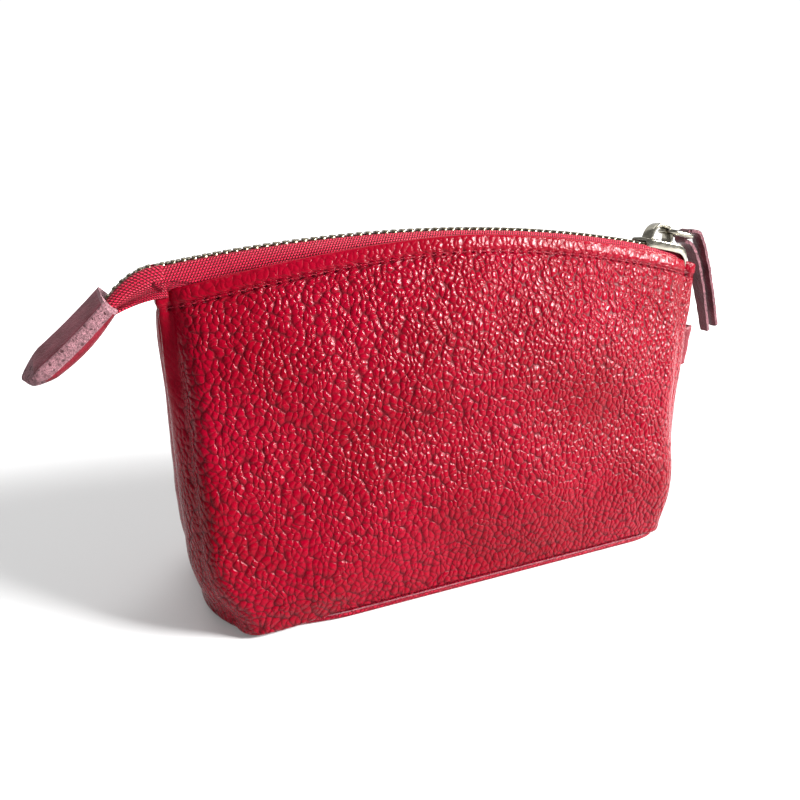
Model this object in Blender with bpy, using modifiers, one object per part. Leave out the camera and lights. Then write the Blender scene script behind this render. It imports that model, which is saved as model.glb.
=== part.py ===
"""A small zippered leather pouch, 7 x 4 x 2 inches, modelled as its separate pieces.

The frame: the origin is the middle of the flat base, +X runs along the zip towards its closed
end, -Y is the front and +Z is up. Lengths below are in millimetres and MM turns them into metres.
"""

import math

import bmesh
import bpy
from mathutils import Matrix, Vector

MM = 0.001

# Driving dimensions: the body
BASE_HALF_DEPTH, BASE_LEAN, LEAN_FROM_X, LEAN_SPAN = 27.4, 2.9, 60.0, 130.0
LEFT_SEAM_X, LEFT_FOLD_X, LEFT_BASE_FOLD_X, LEFT_TUCK = -84.0, -80.4, -73.0, 1.0
RIGHT_FOLD_LEVELS = (71.6, 72.6, 79.6)
RIGHT_SEAM_LEVELS = (84.8, 89.6)
RIGHT_TUCK = 3.5
BASE_FOLD_BLEND = 0.3
SIDE_BOW = 2.9
FRONT_BELLY, BELLY_SPAN = 1.6, 80.0
TAPER_POWER = 1.52
LEATHER = 1.2
GAP = 0.3
SEAM_HALF_GAP = 0.16
FOLD_RADIUS = 6.0
HEM_Z = 1.8
LINING_HALF_GAP = 0.45

# Driving dimensions: the mouth and its zip, whose crest is one circular arc over X = 0
CREST_Z = 102.2
CREST_RADIUS = 440.0
EDGE_CREST_Z = 99.7
EDGE_DROP_LEFT, EDGE_POWER_LEFT, EDGE_SPAN_LEFT = 13.2, 1.6, 84.0
EDGE_DROP_RIGHT, EDGE_POWER_RIGHT, EDGE_SPAN_RIGHT = 8.8, 1.9, 80.0
TAPE_SHOWING = 8.6
STITCH_LEVELS, STITCH_SHARE, STITCH_END = (0.94, 1.0), 0.4, 78.0
TAPE = 0.5
TAPE_HEM = 6.0
TAPE_START_Y, TAPE_START_DROP = 3.3, 0.7
TOOTH_PITCH = 2.54
ROW_IN, ROW_OUT = 0.5, 2.9
ROW_TALL = 1.3
FLAP_LEFT, FLAP_RIGHT = -58.0, 62.0
ZIP_LEFT, ZIP_RIGHT = -84.0, 84.6
TAPE_LIFT_X = -72.0
TAPE_LIFTED_DROP = 4.2
HINGE_Y, HINGE_Z = 7.8, 98.2

# Driving dimensions: the slider, its pull and the end tab
SLIDER_X = 76.0
SLIDER_LENGTH, SLIDER_WIDTH = 18.0, 11.0
PLATE = 1.1
BRIDGE_WIDTH = 4.4
LINK_PIVOT = Vector((77.5, 0.0, 100.4))
LINK_TIP = Vector((87.2, 0.0, 98.6))
LINK_WIRE = 1.5
LINK_HALF_WIDTH = 3.9
STRAP_WIDTH, STRAP_LEATHER = 4.4, 1.2
TAIL_PIVOT = Vector((-84.5, 0.0, 94.2))
TAB_TOP = Vector((-96.3, 0.0, 85.4))
TAB_END = Vector((-116.0, 0.0, 67.6))
TAB_WIDTH, TAB_LEATHER, TAB_SLOT = 12.4, 1.4, 2.0
LOOP_HALF, LOOP_OUT, LOOP_TALL, LOOP_Z = 2.0, 5.6, 13.0, 59.2

RED_LEATHER = (0.42, 0.005, 0.022, 1.0)
RED_TAPE = (0.50, 0.010, 0.045, 1.0)
RED_THREAD = (0.30, 0.004, 0.020, 1.0)
PALE_NICKEL = (0.62, 0.60, 0.50, 1.0)
LINING_RED = (0.22, 0.010, 0.025, 1.0)


def material(name, colour, roughness, metallic=0.0):
    made = bpy.data.materials.new(name)
    made.use_nodes = True
    shader = made.node_tree.nodes["Principled BSDF"]
    shader.inputs["Base Color"].default_value = colour
    shader.inputs["Roughness"].default_value = roughness
    shader.inputs["Metallic"].default_value = metallic
    return made


def clear_scene():
    for obj in list(bpy.data.objects):
        bpy.data.objects.remove(obj, do_unlink=True)


def new_collection(name):
    made = bpy.data.collections.new(name)
    bpy.context.scene.collection.children.link(made)
    return made


def lerp(a, b, t):
    return a + (b - a) * t


def smoothstep(t):
    t = min(1.0, max(0.0, t))
    return t * t * (3.0 - 2.0 * t)


def crest_z(x):
    """Height of the zip's crest, an arc of CREST_RADIUS."""
    return CREST_Z - CREST_RADIUS + math.sqrt(CREST_RADIUS**2 - x * x)


def edge_z(x):
    """Height of the leather's turned top edge."""
    if x < 0:
        return EDGE_CREST_Z - EDGE_DROP_LEFT * (-x / EDGE_SPAN_LEFT) ** EDGE_POWER_LEFT
    return EDGE_CREST_Z - EDGE_DROP_RIGHT * (x / EDGE_SPAN_RIGHT) ** EDGE_POWER_RIGHT


def mouth_half_gap(x):
    """The tape shows the same width all along, so a lower edge means a narrower mouth."""
    drop = crest_z(x) - edge_z(x)
    return math.sqrt(max(TAPE_SHOWING**2 - drop**2, 16.0))


def half_depth(x, h):
    """Half of the body's depth at a share h of its height."""
    mouth = mouth_half_gap(x)
    lean = max(0.0, min(1.0, (LEAN_FROM_X - x) / LEAN_SPAN))
    base = BASE_HALF_DEPTH + BASE_LEAN * lean
    taper = mouth + (base - mouth) * (1.0 - h**TAPER_POWER)
    belly = FRONT_BELLY * math.sin(math.pi * h) * max(0.0, 1.0 - (x / BELLY_SPAN) ** 2)
    return taper + belly


def corner_x(h):
    """The seams and folds of one level: left seam, left fold, right fold, right seam."""
    foot = (1.0 - smoothstep(h / BASE_FOLD_BLEND)) ** 2
    left_fold = lerp(LEFT_FOLD_X, LEFT_BASE_FOLD_X, foot)
    low, middle, high = RIGHT_FOLD_LEVELS
    right_fold = low * (1 - h) * (1 - 2 * h) + middle * 4 * h * (1 - h) + high * h * (2 * h - 1)
    left_seam, right_seam = LEFT_SEAM_X + LEFT_TUCK * foot, lerp(*RIGHT_SEAM_LEVELS, h)
    return left_seam, left_fold, right_fold - RIGHT_TUCK * foot, right_seam


def bezier(a, b, c, t):
    return a * (1 - t) ** 2 + b * 2 * t * (1 - t) + c * t * t


def plan_curve(h, sides=4, fillet=3, front=14):
    """The front half's outline at a share h of the height, from the left seam to the right."""
    left_seam, left_fold, right_fold, right_seam = corner_x(h)
    ends = []
    for seam_x, fold_x, way in ((left_seam, left_fold, -1), (right_seam, right_fold, 1)):
        seam = Vector((seam_x, -SEAM_HALF_GAP))
        fold = Vector((fold_x, -half_depth(fold_x, h)))
        side = fold - seam
        start = fold - side.normalized() * min(FOLD_RADIUS, 0.45 * side.length)
        outward = Vector((abs(side.y), -abs(side.x))).normalized()
        outward.x *= way
        bow = (seam + start) / 2 + outward * 2 * SIDE_BOW
        inner_x = fold_x - way * FOLD_RADIUS
        inner = Vector((inner_x, -half_depth(inner_x, h)))
        run = [bezier(seam, bow, start, i / sides) for i in range(sides)]
        run += [bezier(start, fold, inner, i / fillet) for i in range(fillet)]
        ends.append((run, inner_x))
    (left, from_x), (right, to_x) = ends
    middle = []
    for i in range(front + 1):
        x = lerp(from_x, to_x, i / front)
        middle.append(Vector((x, -half_depth(x, h))))
    return left + middle + right[::-1]


def inset(points, distance):
    """The outline moved inwards along its own normals."""
    moved = []
    for i, point in enumerate(points):
        before = points[max(i - 1, 0)]
        after = points[min(i + 1, len(points) - 1)]
        along = (after - before).normalized()
        normal = Vector((-along.y, along.x))
        if i in (0, len(points) - 1):
            normal = Vector((math.copysign(1.0, -point.x), 0.0))
        moved.append(point + normal * distance)
    return moved


def edge_y(x, depth_in=0.0):
    """The mouth's outline at x, read from the top edge's own plan moved inwards."""
    plan = inset(plan_curve(1.0, front=40), depth_in)
    for a, b in zip(plan, plan[1:]):
        if a.x <= x <= b.x:
            return lerp(a.y, b.y, (x - a.x) / (b.x - a.x))
    raise ValueError("x is outside the mouth")


def add_object(name, mesh, look, collection, matrix=None):
    obj = bpy.data.objects.new(name, mesh)
    obj.data.materials.append(look)
    if matrix is not None:
        obj.matrix_world = matrix
    collection.objects.link(obj)
    return obj


def grid_mesh(name, rows, keep=lambda i, j: True):
    """A surface through rows of points in millimetres, mirrored rows being the caller's job."""
    bm = bmesh.new()
    grid = [[bm.verts.new(Vector(p) * MM) for p in row] for row in rows]
    for j in range(len(grid) - 1):
        for i in range(len(grid[0]) - 1):
            if keep(i, j):
                bm.faces.new((grid[j][i], grid[j][i + 1], grid[j + 1][i + 1], grid[j + 1][i]))
    loose = [v for v in bm.verts if not v.link_faces]
    bmesh.ops.delete(bm, geom=loose, context="VERTS")
    bmesh.ops.recalc_face_normals(bm, faces=bm.faces)
    mesh = bpy.data.meshes.new(name)
    bm.to_mesh(mesh)
    bm.free()
    mesh.shade_smooth()
    return mesh


def thicken(obj, thickness, offset):
    solid = obj.modifiers.new("Thickness", "SOLIDIFY")
    solid.thickness = thickness * MM
    solid.offset = offset
    solid.use_even_offset = True
    return solid


def face_outwards(mesh, outside):
    """Turns the surface so that its normals point to the side of the given point."""
    middle = mesh.polygons[len(mesh.polygons) // 2]
    if middle.normal.dot(Vector(outside) * MM - middle.center) < 0:
        mesh.flip_normals()


def both_sides(build):
    """Calls the builder for the front (side 1) and for its mirror image at the back (-1)."""
    for word, side in (("front", 1), ("back", -1)):
        build(word, side)


def panel_rows(depth_in, levels):
    """Rows of the wall at a given depth inside the leather's outer face."""
    rows = []
    for h in levels:
        row = []
        for outside, p in zip(plan_curve(h), inset(plan_curve(h), depth_in)):
            row.append((p.x, p.y, lerp(HEM_Z, edge_z(outside.x), h)))
        rows.append(row)
    return rows


def hem_rows(depth_in):
    """The lowest part of the wall, where it rolls in under itself to meet the base."""
    rows = []
    for height, roll in ((0.0, 3.2), (0.4, 1.3), (1.8, 0.2)):
        rise = depth_in * (1.0 - smoothstep(height / 2.4))
        level = inset(plan_curve(0.0), roll + depth_in * smoothstep(height / 2.4 + 0.2))
        rows.append([(p.x, p.y, HEM_Z + height + rise) for p in level])
    return rows


def mirrored(rows, side):
    return [[(x, y * side, z) for x, y, z in row] for row in rows]


def shell_mesh(name, outer, inner):
    """A closed skin round two surfaces of equal rows, joined along all four rims."""
    bm = bmesh.new()
    skins = []
    for rows in (outer, inner):
        skins.append([[bm.verts.new(Vector(p) * MM) for p in row] for row in rows])
    tall, wide = len(outer), len(outer[0])
    for grid in skins:
        for j in range(tall - 1):
            for i in range(wide - 1):
                bm.faces.new((grid[j][i], grid[j][i + 1], grid[j + 1][i + 1], grid[j + 1][i]))
    rim = [(0, i) for i in range(wide)] + [(j, wide - 1) for j in range(1, tall)]
    rim += [(tall - 1, i) for i in range(wide - 2, -1, -1)] + [(j, 0) for j in range(tall - 2, 0, -1)]
    one, other = skins
    for (j, i), (n, m) in zip(rim, rim[1:] + rim[:1]):
        bm.faces.new((one[j][i], one[n][m], other[n][m], other[j][i]))
    bmesh.ops.recalc_face_normals(bm, faces=bm.faces)
    mesh = bpy.data.meshes.new(name)
    bm.to_mesh(mesh)
    bm.free()
    mesh.shade_smooth()
    mesh.set_sharp_from_angle(angle=math.radians(40))
    return mesh


def make_panels(leather, collection):
    levels = [0.05, 0.11, 0.18, 0.26, 0.36, 0.48, 0.6, 0.72, 0.84, 0.94, 1.0]

    def build(word, side):
        outer = hem_rows(0.0) + panel_rows(0.0, levels)
        inner = hem_rows(LEATHER) + panel_rows(LEATHER, levels)
        mesh = shell_mesh(word + "_panel", mirrored(outer, side), mirrored(inner, side))
        add_object(word + "_panel", mesh, leather, collection)

    both_sides(build)


def make_linings(cloth, collection):
    clear = LEATHER + 0.5
    floor_z = HEM_Z + 2.6
    levels = [0.1, 0.2, 0.34, 0.5, 0.66, 0.8, 0.9]

    def build(word, side):
        outline = inset(plan_curve(0.0, 2, 2, 10), clear + 3.0)
        rows = []
        for share in (0.0, 0.5, 1.0):
            rows.append([(p.x, min(share * p.y, -LINING_HALF_GAP), floor_z) for p in outline])
        for h in levels:
            row = []
            for p in inset(plan_curve(h, 2, 2, 10), clear):
                row.append((p.x, min(p.y, -LINING_HALF_GAP), lerp(HEM_Z, edge_z(p.x), h)))
            rows.append(row)
        mesh = grid_mesh(word + "_lining", mirrored(rows, side))
        face_outwards(mesh, (0, -400 * side, 50))
        thicken(add_object(word + "_lining", mesh, cloth, collection), 0.35, -1.0)

    both_sides(build)


def make_base(leather, collection):
    """The bottom panel: its rim shows as a narrow strip under the walls."""
    half = inset(plan_curve(0.0), 0.6)
    outline = [(p.x, p.y) for p in half] + [(p.x, -p.y) for p in half[::-1]]
    plate_object("base_panel", outline, 0.0, HEM_Z - GAP, leather, collection, Matrix.Identity(4))


def tape_section(x):
    """Points of the front half's tape at x: zip edge, leather edge and hem, as (y, z)."""
    start = Vector((-TAPE_START_Y, crest_z(x) - TAPE_START_DROP))
    inside = edge_y(x, LEATHER + 2 * GAP + TAPE / 2) if x > ZIP_LEFT + 4 else 0.0
    lift = smoothstep((TAPE_LIFT_X - x) / (TAPE_LIFT_X - ZIP_LEFT))
    edge = Vector((min(inside, -TAPE_START_Y - 0.3), edge_z(x)))
    lifted = Vector((-TAPE_START_Y - 1.1, crest_z(x) - TAPE_LIFTED_DROP))
    edge = edge.lerp(lifted, lift)
    hem = Vector((edge.x - (0.7 if x < BELLY_SPAN - 6 else 0.0), edge.y - TAPE_HEM))
    return start, edge, hem


def tape_row(xs, share):
    """Points along the tape at a share of the way from the zip edge to the leather edge."""
    row = []
    for x in xs:
        start, edge, _ = tape_section(x)
        p = start.lerp(edge, share)
        row.append((x, p.x, p.y))
    return row


def tape_hem_row(xs):
    return [(x, tape_section(x)[2].x, tape_section(x)[2].y) for x in xs]


def stations(first, last, step):
    count = max(1, round((last - first) / step))
    return [lerp(first, last, i / count) for i in range(count + 1)]


def make_tapes(cloth, collection):
    """Each half's sewn edge and closed ends stay with the body; its middle is a flap."""
    left = stations(ZIP_LEFT, FLAP_LEFT - 0.5, 4.5)
    middle = stations(FLAP_LEFT - 0.5, FLAP_RIGHT + 0.5, 6.0)
    right = stations(FLAP_RIGHT + 0.5, ZIP_RIGHT - 2.5, 4.5)
    fixed_xs = left + middle[1:-1] + right
    flap_xs = stations(FLAP_LEFT, FLAP_RIGHT, 6.0)
    opening = range(len(left) - 1, len(left) - 1 + len(middle) - 1)

    def keep(i, j):
        if j < 2:
            return i not in opening
        return fixed_xs[i] > TAPE_LIFT_X + 1.0 if j == 3 else True

    def build(word, side):
        rows = [tape_row(fixed_xs, s) for s in (0.0, 0.5, 0.93, 1.0)]
        rows.append(tape_hem_row(fixed_xs))
        mesh = grid_mesh(word + "_tape", mirrored(rows, side), keep)
        thicken(add_object(word + "_tape", mesh, cloth, collection), TAPE, 0.0)
        rows = [tape_row(flap_xs, s) for s in (0.0, 0.42, 0.82)]
        mesh = grid_mesh(word + "_tape_flap", mirrored(rows, side))
        thicken(add_object(word + "_tape_flap", mesh, cloth, collection), TAPE, 0.0)

    both_sides(build)


def frame_on_crest(x):
    """Point on the crest, the direction along it and the direction square to it."""
    turn = math.asin(x / CREST_RADIUS)
    along = Vector((math.cos(turn), 0.0, -math.sin(turn)))
    up = Vector((math.sin(turn), 0.0, math.cos(turn)))
    return Vector((x, 0.0, crest_z(x))), along, up


def tooth_rings(frames, side):
    """Square rings along a row: a thin cord that swells into a tooth at every pitch."""
    rings = []
    for (point, up), tooth in frames:
        low, high = (-ROW_TALL, 0.0) if tooth else (-0.95, -0.35)
        near, far = (ROW_IN, ROW_OUT) if tooth else (1.1, 2.5)
        corners = ((near, low), (far, low), (far, high), (near, high))
        rings.append([point + up * z + Vector((0, -side * y, 0)) for y, z in corners])
    return rings


def ring_mesh(name, rings):
    """A closed skin over successive rings, with both ends capped."""
    bm = bmesh.new()
    verts = [[bm.verts.new(Vector(p) * MM) for p in ring] for ring in rings]
    count = len(verts[0])
    for first, second in zip(verts, verts[1:]):
        for i in range(count):
            j = (i + 1) % count
            bm.faces.new((first[i], first[j], second[j], second[i]))
    bm.faces.new(verts[0][::-1])
    bm.faces.new(verts[-1])
    bmesh.ops.recalc_face_normals(bm, faces=bm.faces)
    mesh = bpy.data.meshes.new(name)
    bm.to_mesh(mesh)
    bm.free()
    return mesh


def crest_frames(first, last):
    """Stations of a tooth row between two places on the crest."""
    frames = []
    count = int((last - first) / TOOTH_PITCH)
    margin = ((last - first) - count * TOOTH_PITCH) / 2
    for i in range(count):
        start = first + margin + TOOTH_PITCH * (i + 0.24)
        end = start + 0.52 * TOOTH_PITCH
        for x, tooth in ((start, False), (start, True), (end, True), (end, False)):
            point, _, up = frame_on_crest(x)
            frames.append(((point, up), tooth))
    return frames


def make_teeth(metal, collection):
    runs = (
        ("_teeth_open_end", ZIP_LEFT + 0.2, FLAP_LEFT - 0.4),
        ("_teeth", FLAP_LEFT, FLAP_RIGHT),
        ("_teeth_closed_end", FLAP_RIGHT + 0.4, ZIP_RIGHT - 3.6),
    )

    def build(word, side):
        for ending, first, last in runs:
            rings = tooth_rings(crest_frames(first, last), side)
            add_object(word + ending, ring_mesh(word + ending, rings), metal, collection)

    both_sides(build)


def box_object(name, size, centre, matrix, look, collection, bevel=0.0):
    bm = bmesh.new()
    bmesh.ops.create_cube(bm, size=1.0)
    bmesh.ops.scale(bm, vec=Vector(size) * MM, verts=bm.verts)
    bmesh.ops.translate(bm, vec=Vector(centre) * MM, verts=bm.verts)
    mesh = bpy.data.meshes.new(name)
    bm.to_mesh(mesh)
    bm.free()
    obj = add_object(name, mesh, look, collection, matrix)
    if bevel:
        edge = obj.modifiers.new("Rounding", "BEVEL")
        edge.width = bevel * MM
        edge.segments = 2
    return obj


def crest_matrix(x):
    point, along, up = frame_on_crest(x)
    across = up.cross(along)
    matrix = Matrix((along, across, up)).transposed().to_4x4()
    matrix.translation = point * MM
    return matrix


def make_stops(metal, collection):
    """The two top stops, one on each tape, that end the slider's travel."""
    place = crest_matrix(ZIP_RIGHT - 1.6)

    def build(word, side):
        centre = (0, -side * (ROW_IN + ROW_OUT) / 2, -0.65)
        size = (2.0, ROW_OUT - ROW_IN, 1.5)
        box_object(word + "_top_stop", size, centre, place, metal, collection, 0.3)

    both_sides(build)


def plate_object(name, outline, low, high, look, collection, matrix):
    """A closed flat outline in the XY plane of the matrix, filled from one height to another."""
    curve = bpy.data.curves.new(name, "CURVE")
    curve.dimensions = "2D"
    curve.fill_mode = "BOTH"
    curve.extrude = (high - low) / 2 * MM
    spline = curve.splines.new("POLY")
    spline.points.add(len(outline) - 1)
    for target, (x, y) in zip(spline.points, outline):
        target.co = (x * MM, y * MM, 0.0, 1.0)
    spline.use_cyclic_u = True
    middle = Matrix.Translation((0.0, 0.0, (low + high) / 2 * MM))
    return add_object(name, curve, look, collection, matrix @ middle)


def outline_object(name, outline, half_width, look, collection, matrix):
    """A closed flat outline in the XZ plane of the matrix, thickened both ways along its Y."""
    upright = matrix @ Matrix.Rotation(math.radians(90), 4, "X")
    return plate_object(name, outline, -half_width, half_width, look, collection, upright)


def slider_outline():
    """The slider's plan: narrow where the closed chain leaves it, wide at its nose."""
    half, wide, narrow = SLIDER_LENGTH / 2, SLIDER_WIDTH / 2, SLIDER_WIDTH / 2 - 1.2
    side = [(-half, narrow - 1.0), (-half + 1.2, narrow), (half - 6.5, wide), (half - 2.5, wide - 0.3)]
    side += [(half - 0.6, wide - 2.0), (half, wide - 3.8)]
    return side + [(x, -y) for x, y in side[::-1]]


def arch_points(half_length, height, thickness):
    """Outline of the slider's bridge: a thick arch standing on its two feet."""
    outer, inner = [], []
    steps = 12
    for i in range(steps + 1):
        turn = math.pi * i / steps
        outer.append((half_length * math.cos(turn), height * math.sin(turn) ** 0.8))
        small = half_length - thickness
        inner.append((small * math.cos(turn), (height - thickness) * math.sin(turn) ** 0.8))
    return outer + inner[::-1]


def make_slider(metal, collection):
    place = crest_matrix(SLIDER_X)
    top_low = GAP + 0.1
    plate_object("slider_top_plate", slider_outline(), top_low, top_low + PLATE, metal, collection, place)
    under = [(x, y * 0.5) for x, y in slider_outline()]
    bottom_high = -ROW_TALL - GAP - 0.1
    plate_object(
        "slider_bottom_plate", under, bottom_high - PLATE, bottom_high, metal, collection, place
    )
    post_height = top_low - bottom_high - 0.24
    post_centre = (5.5, 0, (top_low + bottom_high) / 2)
    box_object("slider_post", (3.0, 0.4, post_height), post_centre, place, metal, collection)
    lift = Matrix.Translation((-1.0 * MM, 0, (top_low + PLATE + 0.12) * MM))
    outline_object(
        "slider_bridge", arch_points(5.4, 6.4, 1.4), BRIDGE_WIDTH / 2, metal, collection, place @ lift
    )


def tube_object(name, points, radius, look, collection, cyclic=False, resolution=1):
    curve = bpy.data.curves.new(name, "CURVE")
    curve.dimensions = "3D"
    curve.bevel_depth = radius * MM
    curve.bevel_resolution = resolution
    curve.use_fill_caps = not cyclic
    spline = curve.splines.new("POLY")
    spline.points.add(len(points) - 1)
    for target, p in zip(spline.points, points):
        target.co = (p[0] * MM, p[1] * MM, p[2] * MM, 1.0)
    spline.use_cyclic_u = cyclic
    curve.materials.append(look)
    obj = bpy.data.objects.new(name, curve)
    collection.objects.link(obj)
    return obj


def make_link(metal, collection):
    """The wire link between the bridge and the leather strap: a long rounded rectangle."""
    along = (LINK_TIP - LINK_PIVOT).normalized()
    near = LINK_PIVOT
    far = LINK_TIP
    corner = 1.6
    points = []
    middles = (
        (near + along * corner, -LINK_HALF_WIDTH + corner, math.pi, 1.5 * math.pi),
        (far - along * corner, -LINK_HALF_WIDTH + corner, 1.5 * math.pi, 2 * math.pi),
        (far - along * corner, LINK_HALF_WIDTH - corner, 0.0, 0.5 * math.pi),
        (near + along * corner, LINK_HALF_WIDTH - corner, 0.5 * math.pi, math.pi),
    )
    for middle, y, first, last in middles:
        for i in range(4):
            turn = lerp(first, last, i / 3)
            p = middle + along * corner * math.cos(turn)
            points.append((p.x, y + corner * math.sin(turn), p.z))
    tube_object("pull_link", points, LINK_WIRE / 2, metal, collection, cyclic=True)


def smooth_path(points, per_span):
    """Catmull-Rom points through a short list of points."""
    held = [points[0]] + list(points) + [points[-1]]
    path = []
    for a, b, c, d in zip(held, held[1:], held[2:], held[3:]):
        for i in range(per_span):
            t = i / per_span
            path.append(
                0.5 * (2 * b + (c - a) * t + (2 * a - 5 * b + 4 * c - d) * t * t
                       + (3 * b - a - 3 * c + d) * t**3)
            )
    path.append(points[-1])
    return path


def make_strap(leather, collection):
    """The pull's leather strap, doubled round the link's bar, with two hanging ends."""
    bar = Vector((LINK_TIP.x, LINK_TIP.z))
    ring = LINK_WIRE / 2 + GAP + STRAP_LEATHER / 2
    loop = []
    for i in range(7):
        turn = math.radians(lerp(-75, -285, i / 6))
        loop.append(bar + Vector((math.cos(turn), math.sin(turn))) * ring)
    inner = [(104.2, 64.6), (101.0, 73.0), (97.6, 81.5), (94.4, 88.8), (90.4, 95.0)]
    outer = [(91.2, 99.4), (95.4, 96.6), (99.2, 90.0), (102.8, 81.2), (105.6, 73.4), (108.4, 66.0)]
    route = [Vector(p) for p in inner] + loop + [Vector(p) for p in outer]
    path = smooth_path(route, 2)
    one, other = [], []
    for i, p in enumerate(path):
        before, after = path[max(i - 1, 0)], path[min(i + 1, len(path) - 1)]
        along = (after - before).normalized()
        normal = Vector((-along.y, along.x)) * STRAP_LEATHER / 2
        one.append(p + normal)
        other.append(p - normal)
    outline = [(p.x, p.y) for p in one + other[::-1]]
    outline_object("pull_strap", outline, STRAP_WIDTH / 2, leather, collection, Matrix.Identity(4))


def tail_frames():
    """Stations down the zip's tail: a short bend from the crest's end to the tab's slope."""
    along_tab = (TAB_END - TAB_TOP).normalized()
    first, _, _ = frame_on_crest(ZIP_LEFT - 1.0)
    bend = first + Vector((-5.6, 0, -0.9))
    last = TAB_TOP - along_tab * 0.6
    frames = []
    steps = 6
    for i in range(steps + 1):
        t = i / steps
        point = bezier(first, bend, last, t)
        along = ((bend - first) * (1 - t) + (last - bend) * t).normalized()
        up = Vector((along.z, 0, -along.x))
        frames.append((point, up, t))
    return frames, along_tab


def make_tail(cloth, metal, collection):
    """The free end of the zip beyond the body, running into the slot of the tab."""
    frames, along_tab = tail_frames()
    inside = [(frames[-1][0] + along_tab * d, frames[-1][1], 1.0) for d in (6.0, 20.0)]

    def build(word, side):
        rows = []
        for share in (0.0, 0.5, 1.0):
            row = []
            for point, up, t in frames + inside:
                t = smoothstep(t)
                hung = Vector((lerp(TAPE_START_Y, TAPE_START_Y + 1.1, share),
                               lerp(TAPE_START_DROP, TAPE_LIFTED_DROP, share)))
                flat = Vector((lerp(TAPE_START_Y, TAB_WIDTH / 2 - 0.8, share), 0.9))
                across, drop = hung.lerp(flat, t)
                p = point - up * drop
                row.append((p.x, -across, p.z))
            rows.append(row)
        mesh = grid_mesh(word + "_tail_tape", mirrored(rows, side))
        thicken(add_object(word + "_tail_tape", mesh, cloth, collection), TAPE, 0.0)
        chain = []
        run = frames[:-1]
        for (a, up_a, _), (b, up_b, _) in zip(run, run[1:]):
            for share, tooth in ((0.24, False), (0.24, True), (0.76, True), (0.76, False)):
                chain.append(((a.lerp(b, share), up_a.lerp(up_b, share).normalized()), tooth))
        mesh = ring_mesh(word + "_tail_teeth", tooth_rings(chain, side))
        add_object(word + "_tail_teeth", mesh, metal, collection)

    both_sides(build)


def make_tab(leather, collection):
    """The end tab: one leather strip folded over the tape's end, open towards the pouch."""
    axis = TAB_END - TAB_TOP
    length = axis.length
    along = axis.normalized()
    up = Vector((along.z, 0, -along.x))
    place = Matrix((along, up.cross(along), up)).transposed().to_4x4()
    place.translation = (TAB_TOP - up * 0.9) * MM
    slot = TAB_SLOT / 2
    wall = slot + TAB_LEATHER
    tip = length - wall
    outer, inner = [(0.0, wall)], [(0.0, slot)]
    for i in range(9):
        turn = math.radians(lerp(90, -90, i / 8))
        outer.append((tip + wall * math.cos(turn), wall * math.sin(turn)))
        inner.append((tip + slot * math.cos(turn), slot * math.sin(turn)))
    outer.append((0.0, -wall))
    inner.append((0.0, -slot))
    outline_object("end_tab", outer + inner[::-1], TAB_WIDTH / 2, leather, collection, place)
    return place


def make_side_loop(leather, collection):
    """A small folded loop sewn into the right side seam."""
    seam_x = corner_x(0.72)[3]
    outer, inner = [(0.0, LOOP_HALF)], [(0.0, LOOP_HALF - LEATHER)]
    for i in range(7):
        turn = math.radians(lerp(90, -90, i / 6))
        wide, slot = LOOP_HALF, LOOP_HALF - LEATHER
        outer.append((LOOP_OUT - wide + wide * math.cos(turn), wide * math.sin(turn)))
        inner.append((LOOP_OUT - wide + slot * math.cos(turn), slot * math.sin(turn)))
    outline = outer + [(0.0, -LOOP_HALF), (0.0, LEATHER - LOOP_HALF)] + inner[::-1]
    place = Matrix.Translation(((seam_x + GAP) * MM, 0, LOOP_Z * MM))
    lying = place @ Matrix.Rotation(math.radians(-90), 4, "X")
    outline_object("side_loop", outline, LOOP_TALL / 2, leather, collection, lying)


def make_stitching(thread, collection):
    """One thread along each panel's top edge, just proud of the leather."""

    def build(word, side):
        points = []
        below, above = (inset(plan_curve(h), -0.6) for h in STITCH_LEVELS)
        for a, b, c in zip(below, above, plan_curve(1.0)):
            p = a.lerp(b, STITCH_SHARE)
            if abs(c.x) < STITCH_END:
                h = lerp(*STITCH_LEVELS, STITCH_SHARE)
                points.append((p.x, p.y * side, lerp(HEM_Z, edge_z(c.x), h)))
        tube_object(word + "_topstitch", points, 0.22, thread, collection, resolution=0)

    both_sides(build)


def add_pivot(name, place, pieces, collection):
    """An empty on a joint's axis, which carries the pieces that turn about it."""
    pivot = bpy.data.objects.new(name, None)
    pivot.empty_display_size = 5.0 * MM
    pivot.location = Vector(place) * MM
    collection.objects.link(pivot)
    bpy.context.view_layer.update()
    for piece in pieces:
        held = bpy.data.objects[piece]
        held.parent = pivot
        held.matrix_parent_inverse = pivot.matrix_world.inverted()


def make_pivots(collection):
    """The joints' places: the crest's centre, the two flaps' fold lines, the link's and strap's bars."""
    bpy.context.view_layer.update()
    add_pivot("strap_pivot", LINK_TIP, ["pull_strap"], collection)
    add_pivot("link_pivot", LINK_PIVOT, ["pull_link", "strap_pivot"], collection)
    slider = ["slider_top_plate", "slider_bottom_plate", "slider_post", "slider_bridge", "link_pivot"]
    add_pivot("slider_pivot", (0.0, 0.0, CREST_Z - CREST_RADIUS), slider, collection)
    tail = ["front_tail_tape", "back_tail_tape", "front_tail_teeth", "back_tail_teeth"]
    add_pivot("tail_pivot", TAIL_PIVOT, tail + ["end_tab", "bottom_stop"], collection)

    def build(word, side):
        place = (0.0, -side * HINGE_Y, HINGE_Z)
        add_pivot(word + "_flap_pivot", place, [word + "_tape_flap", word + "_teeth"], collection)

    both_sides(build)


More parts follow.
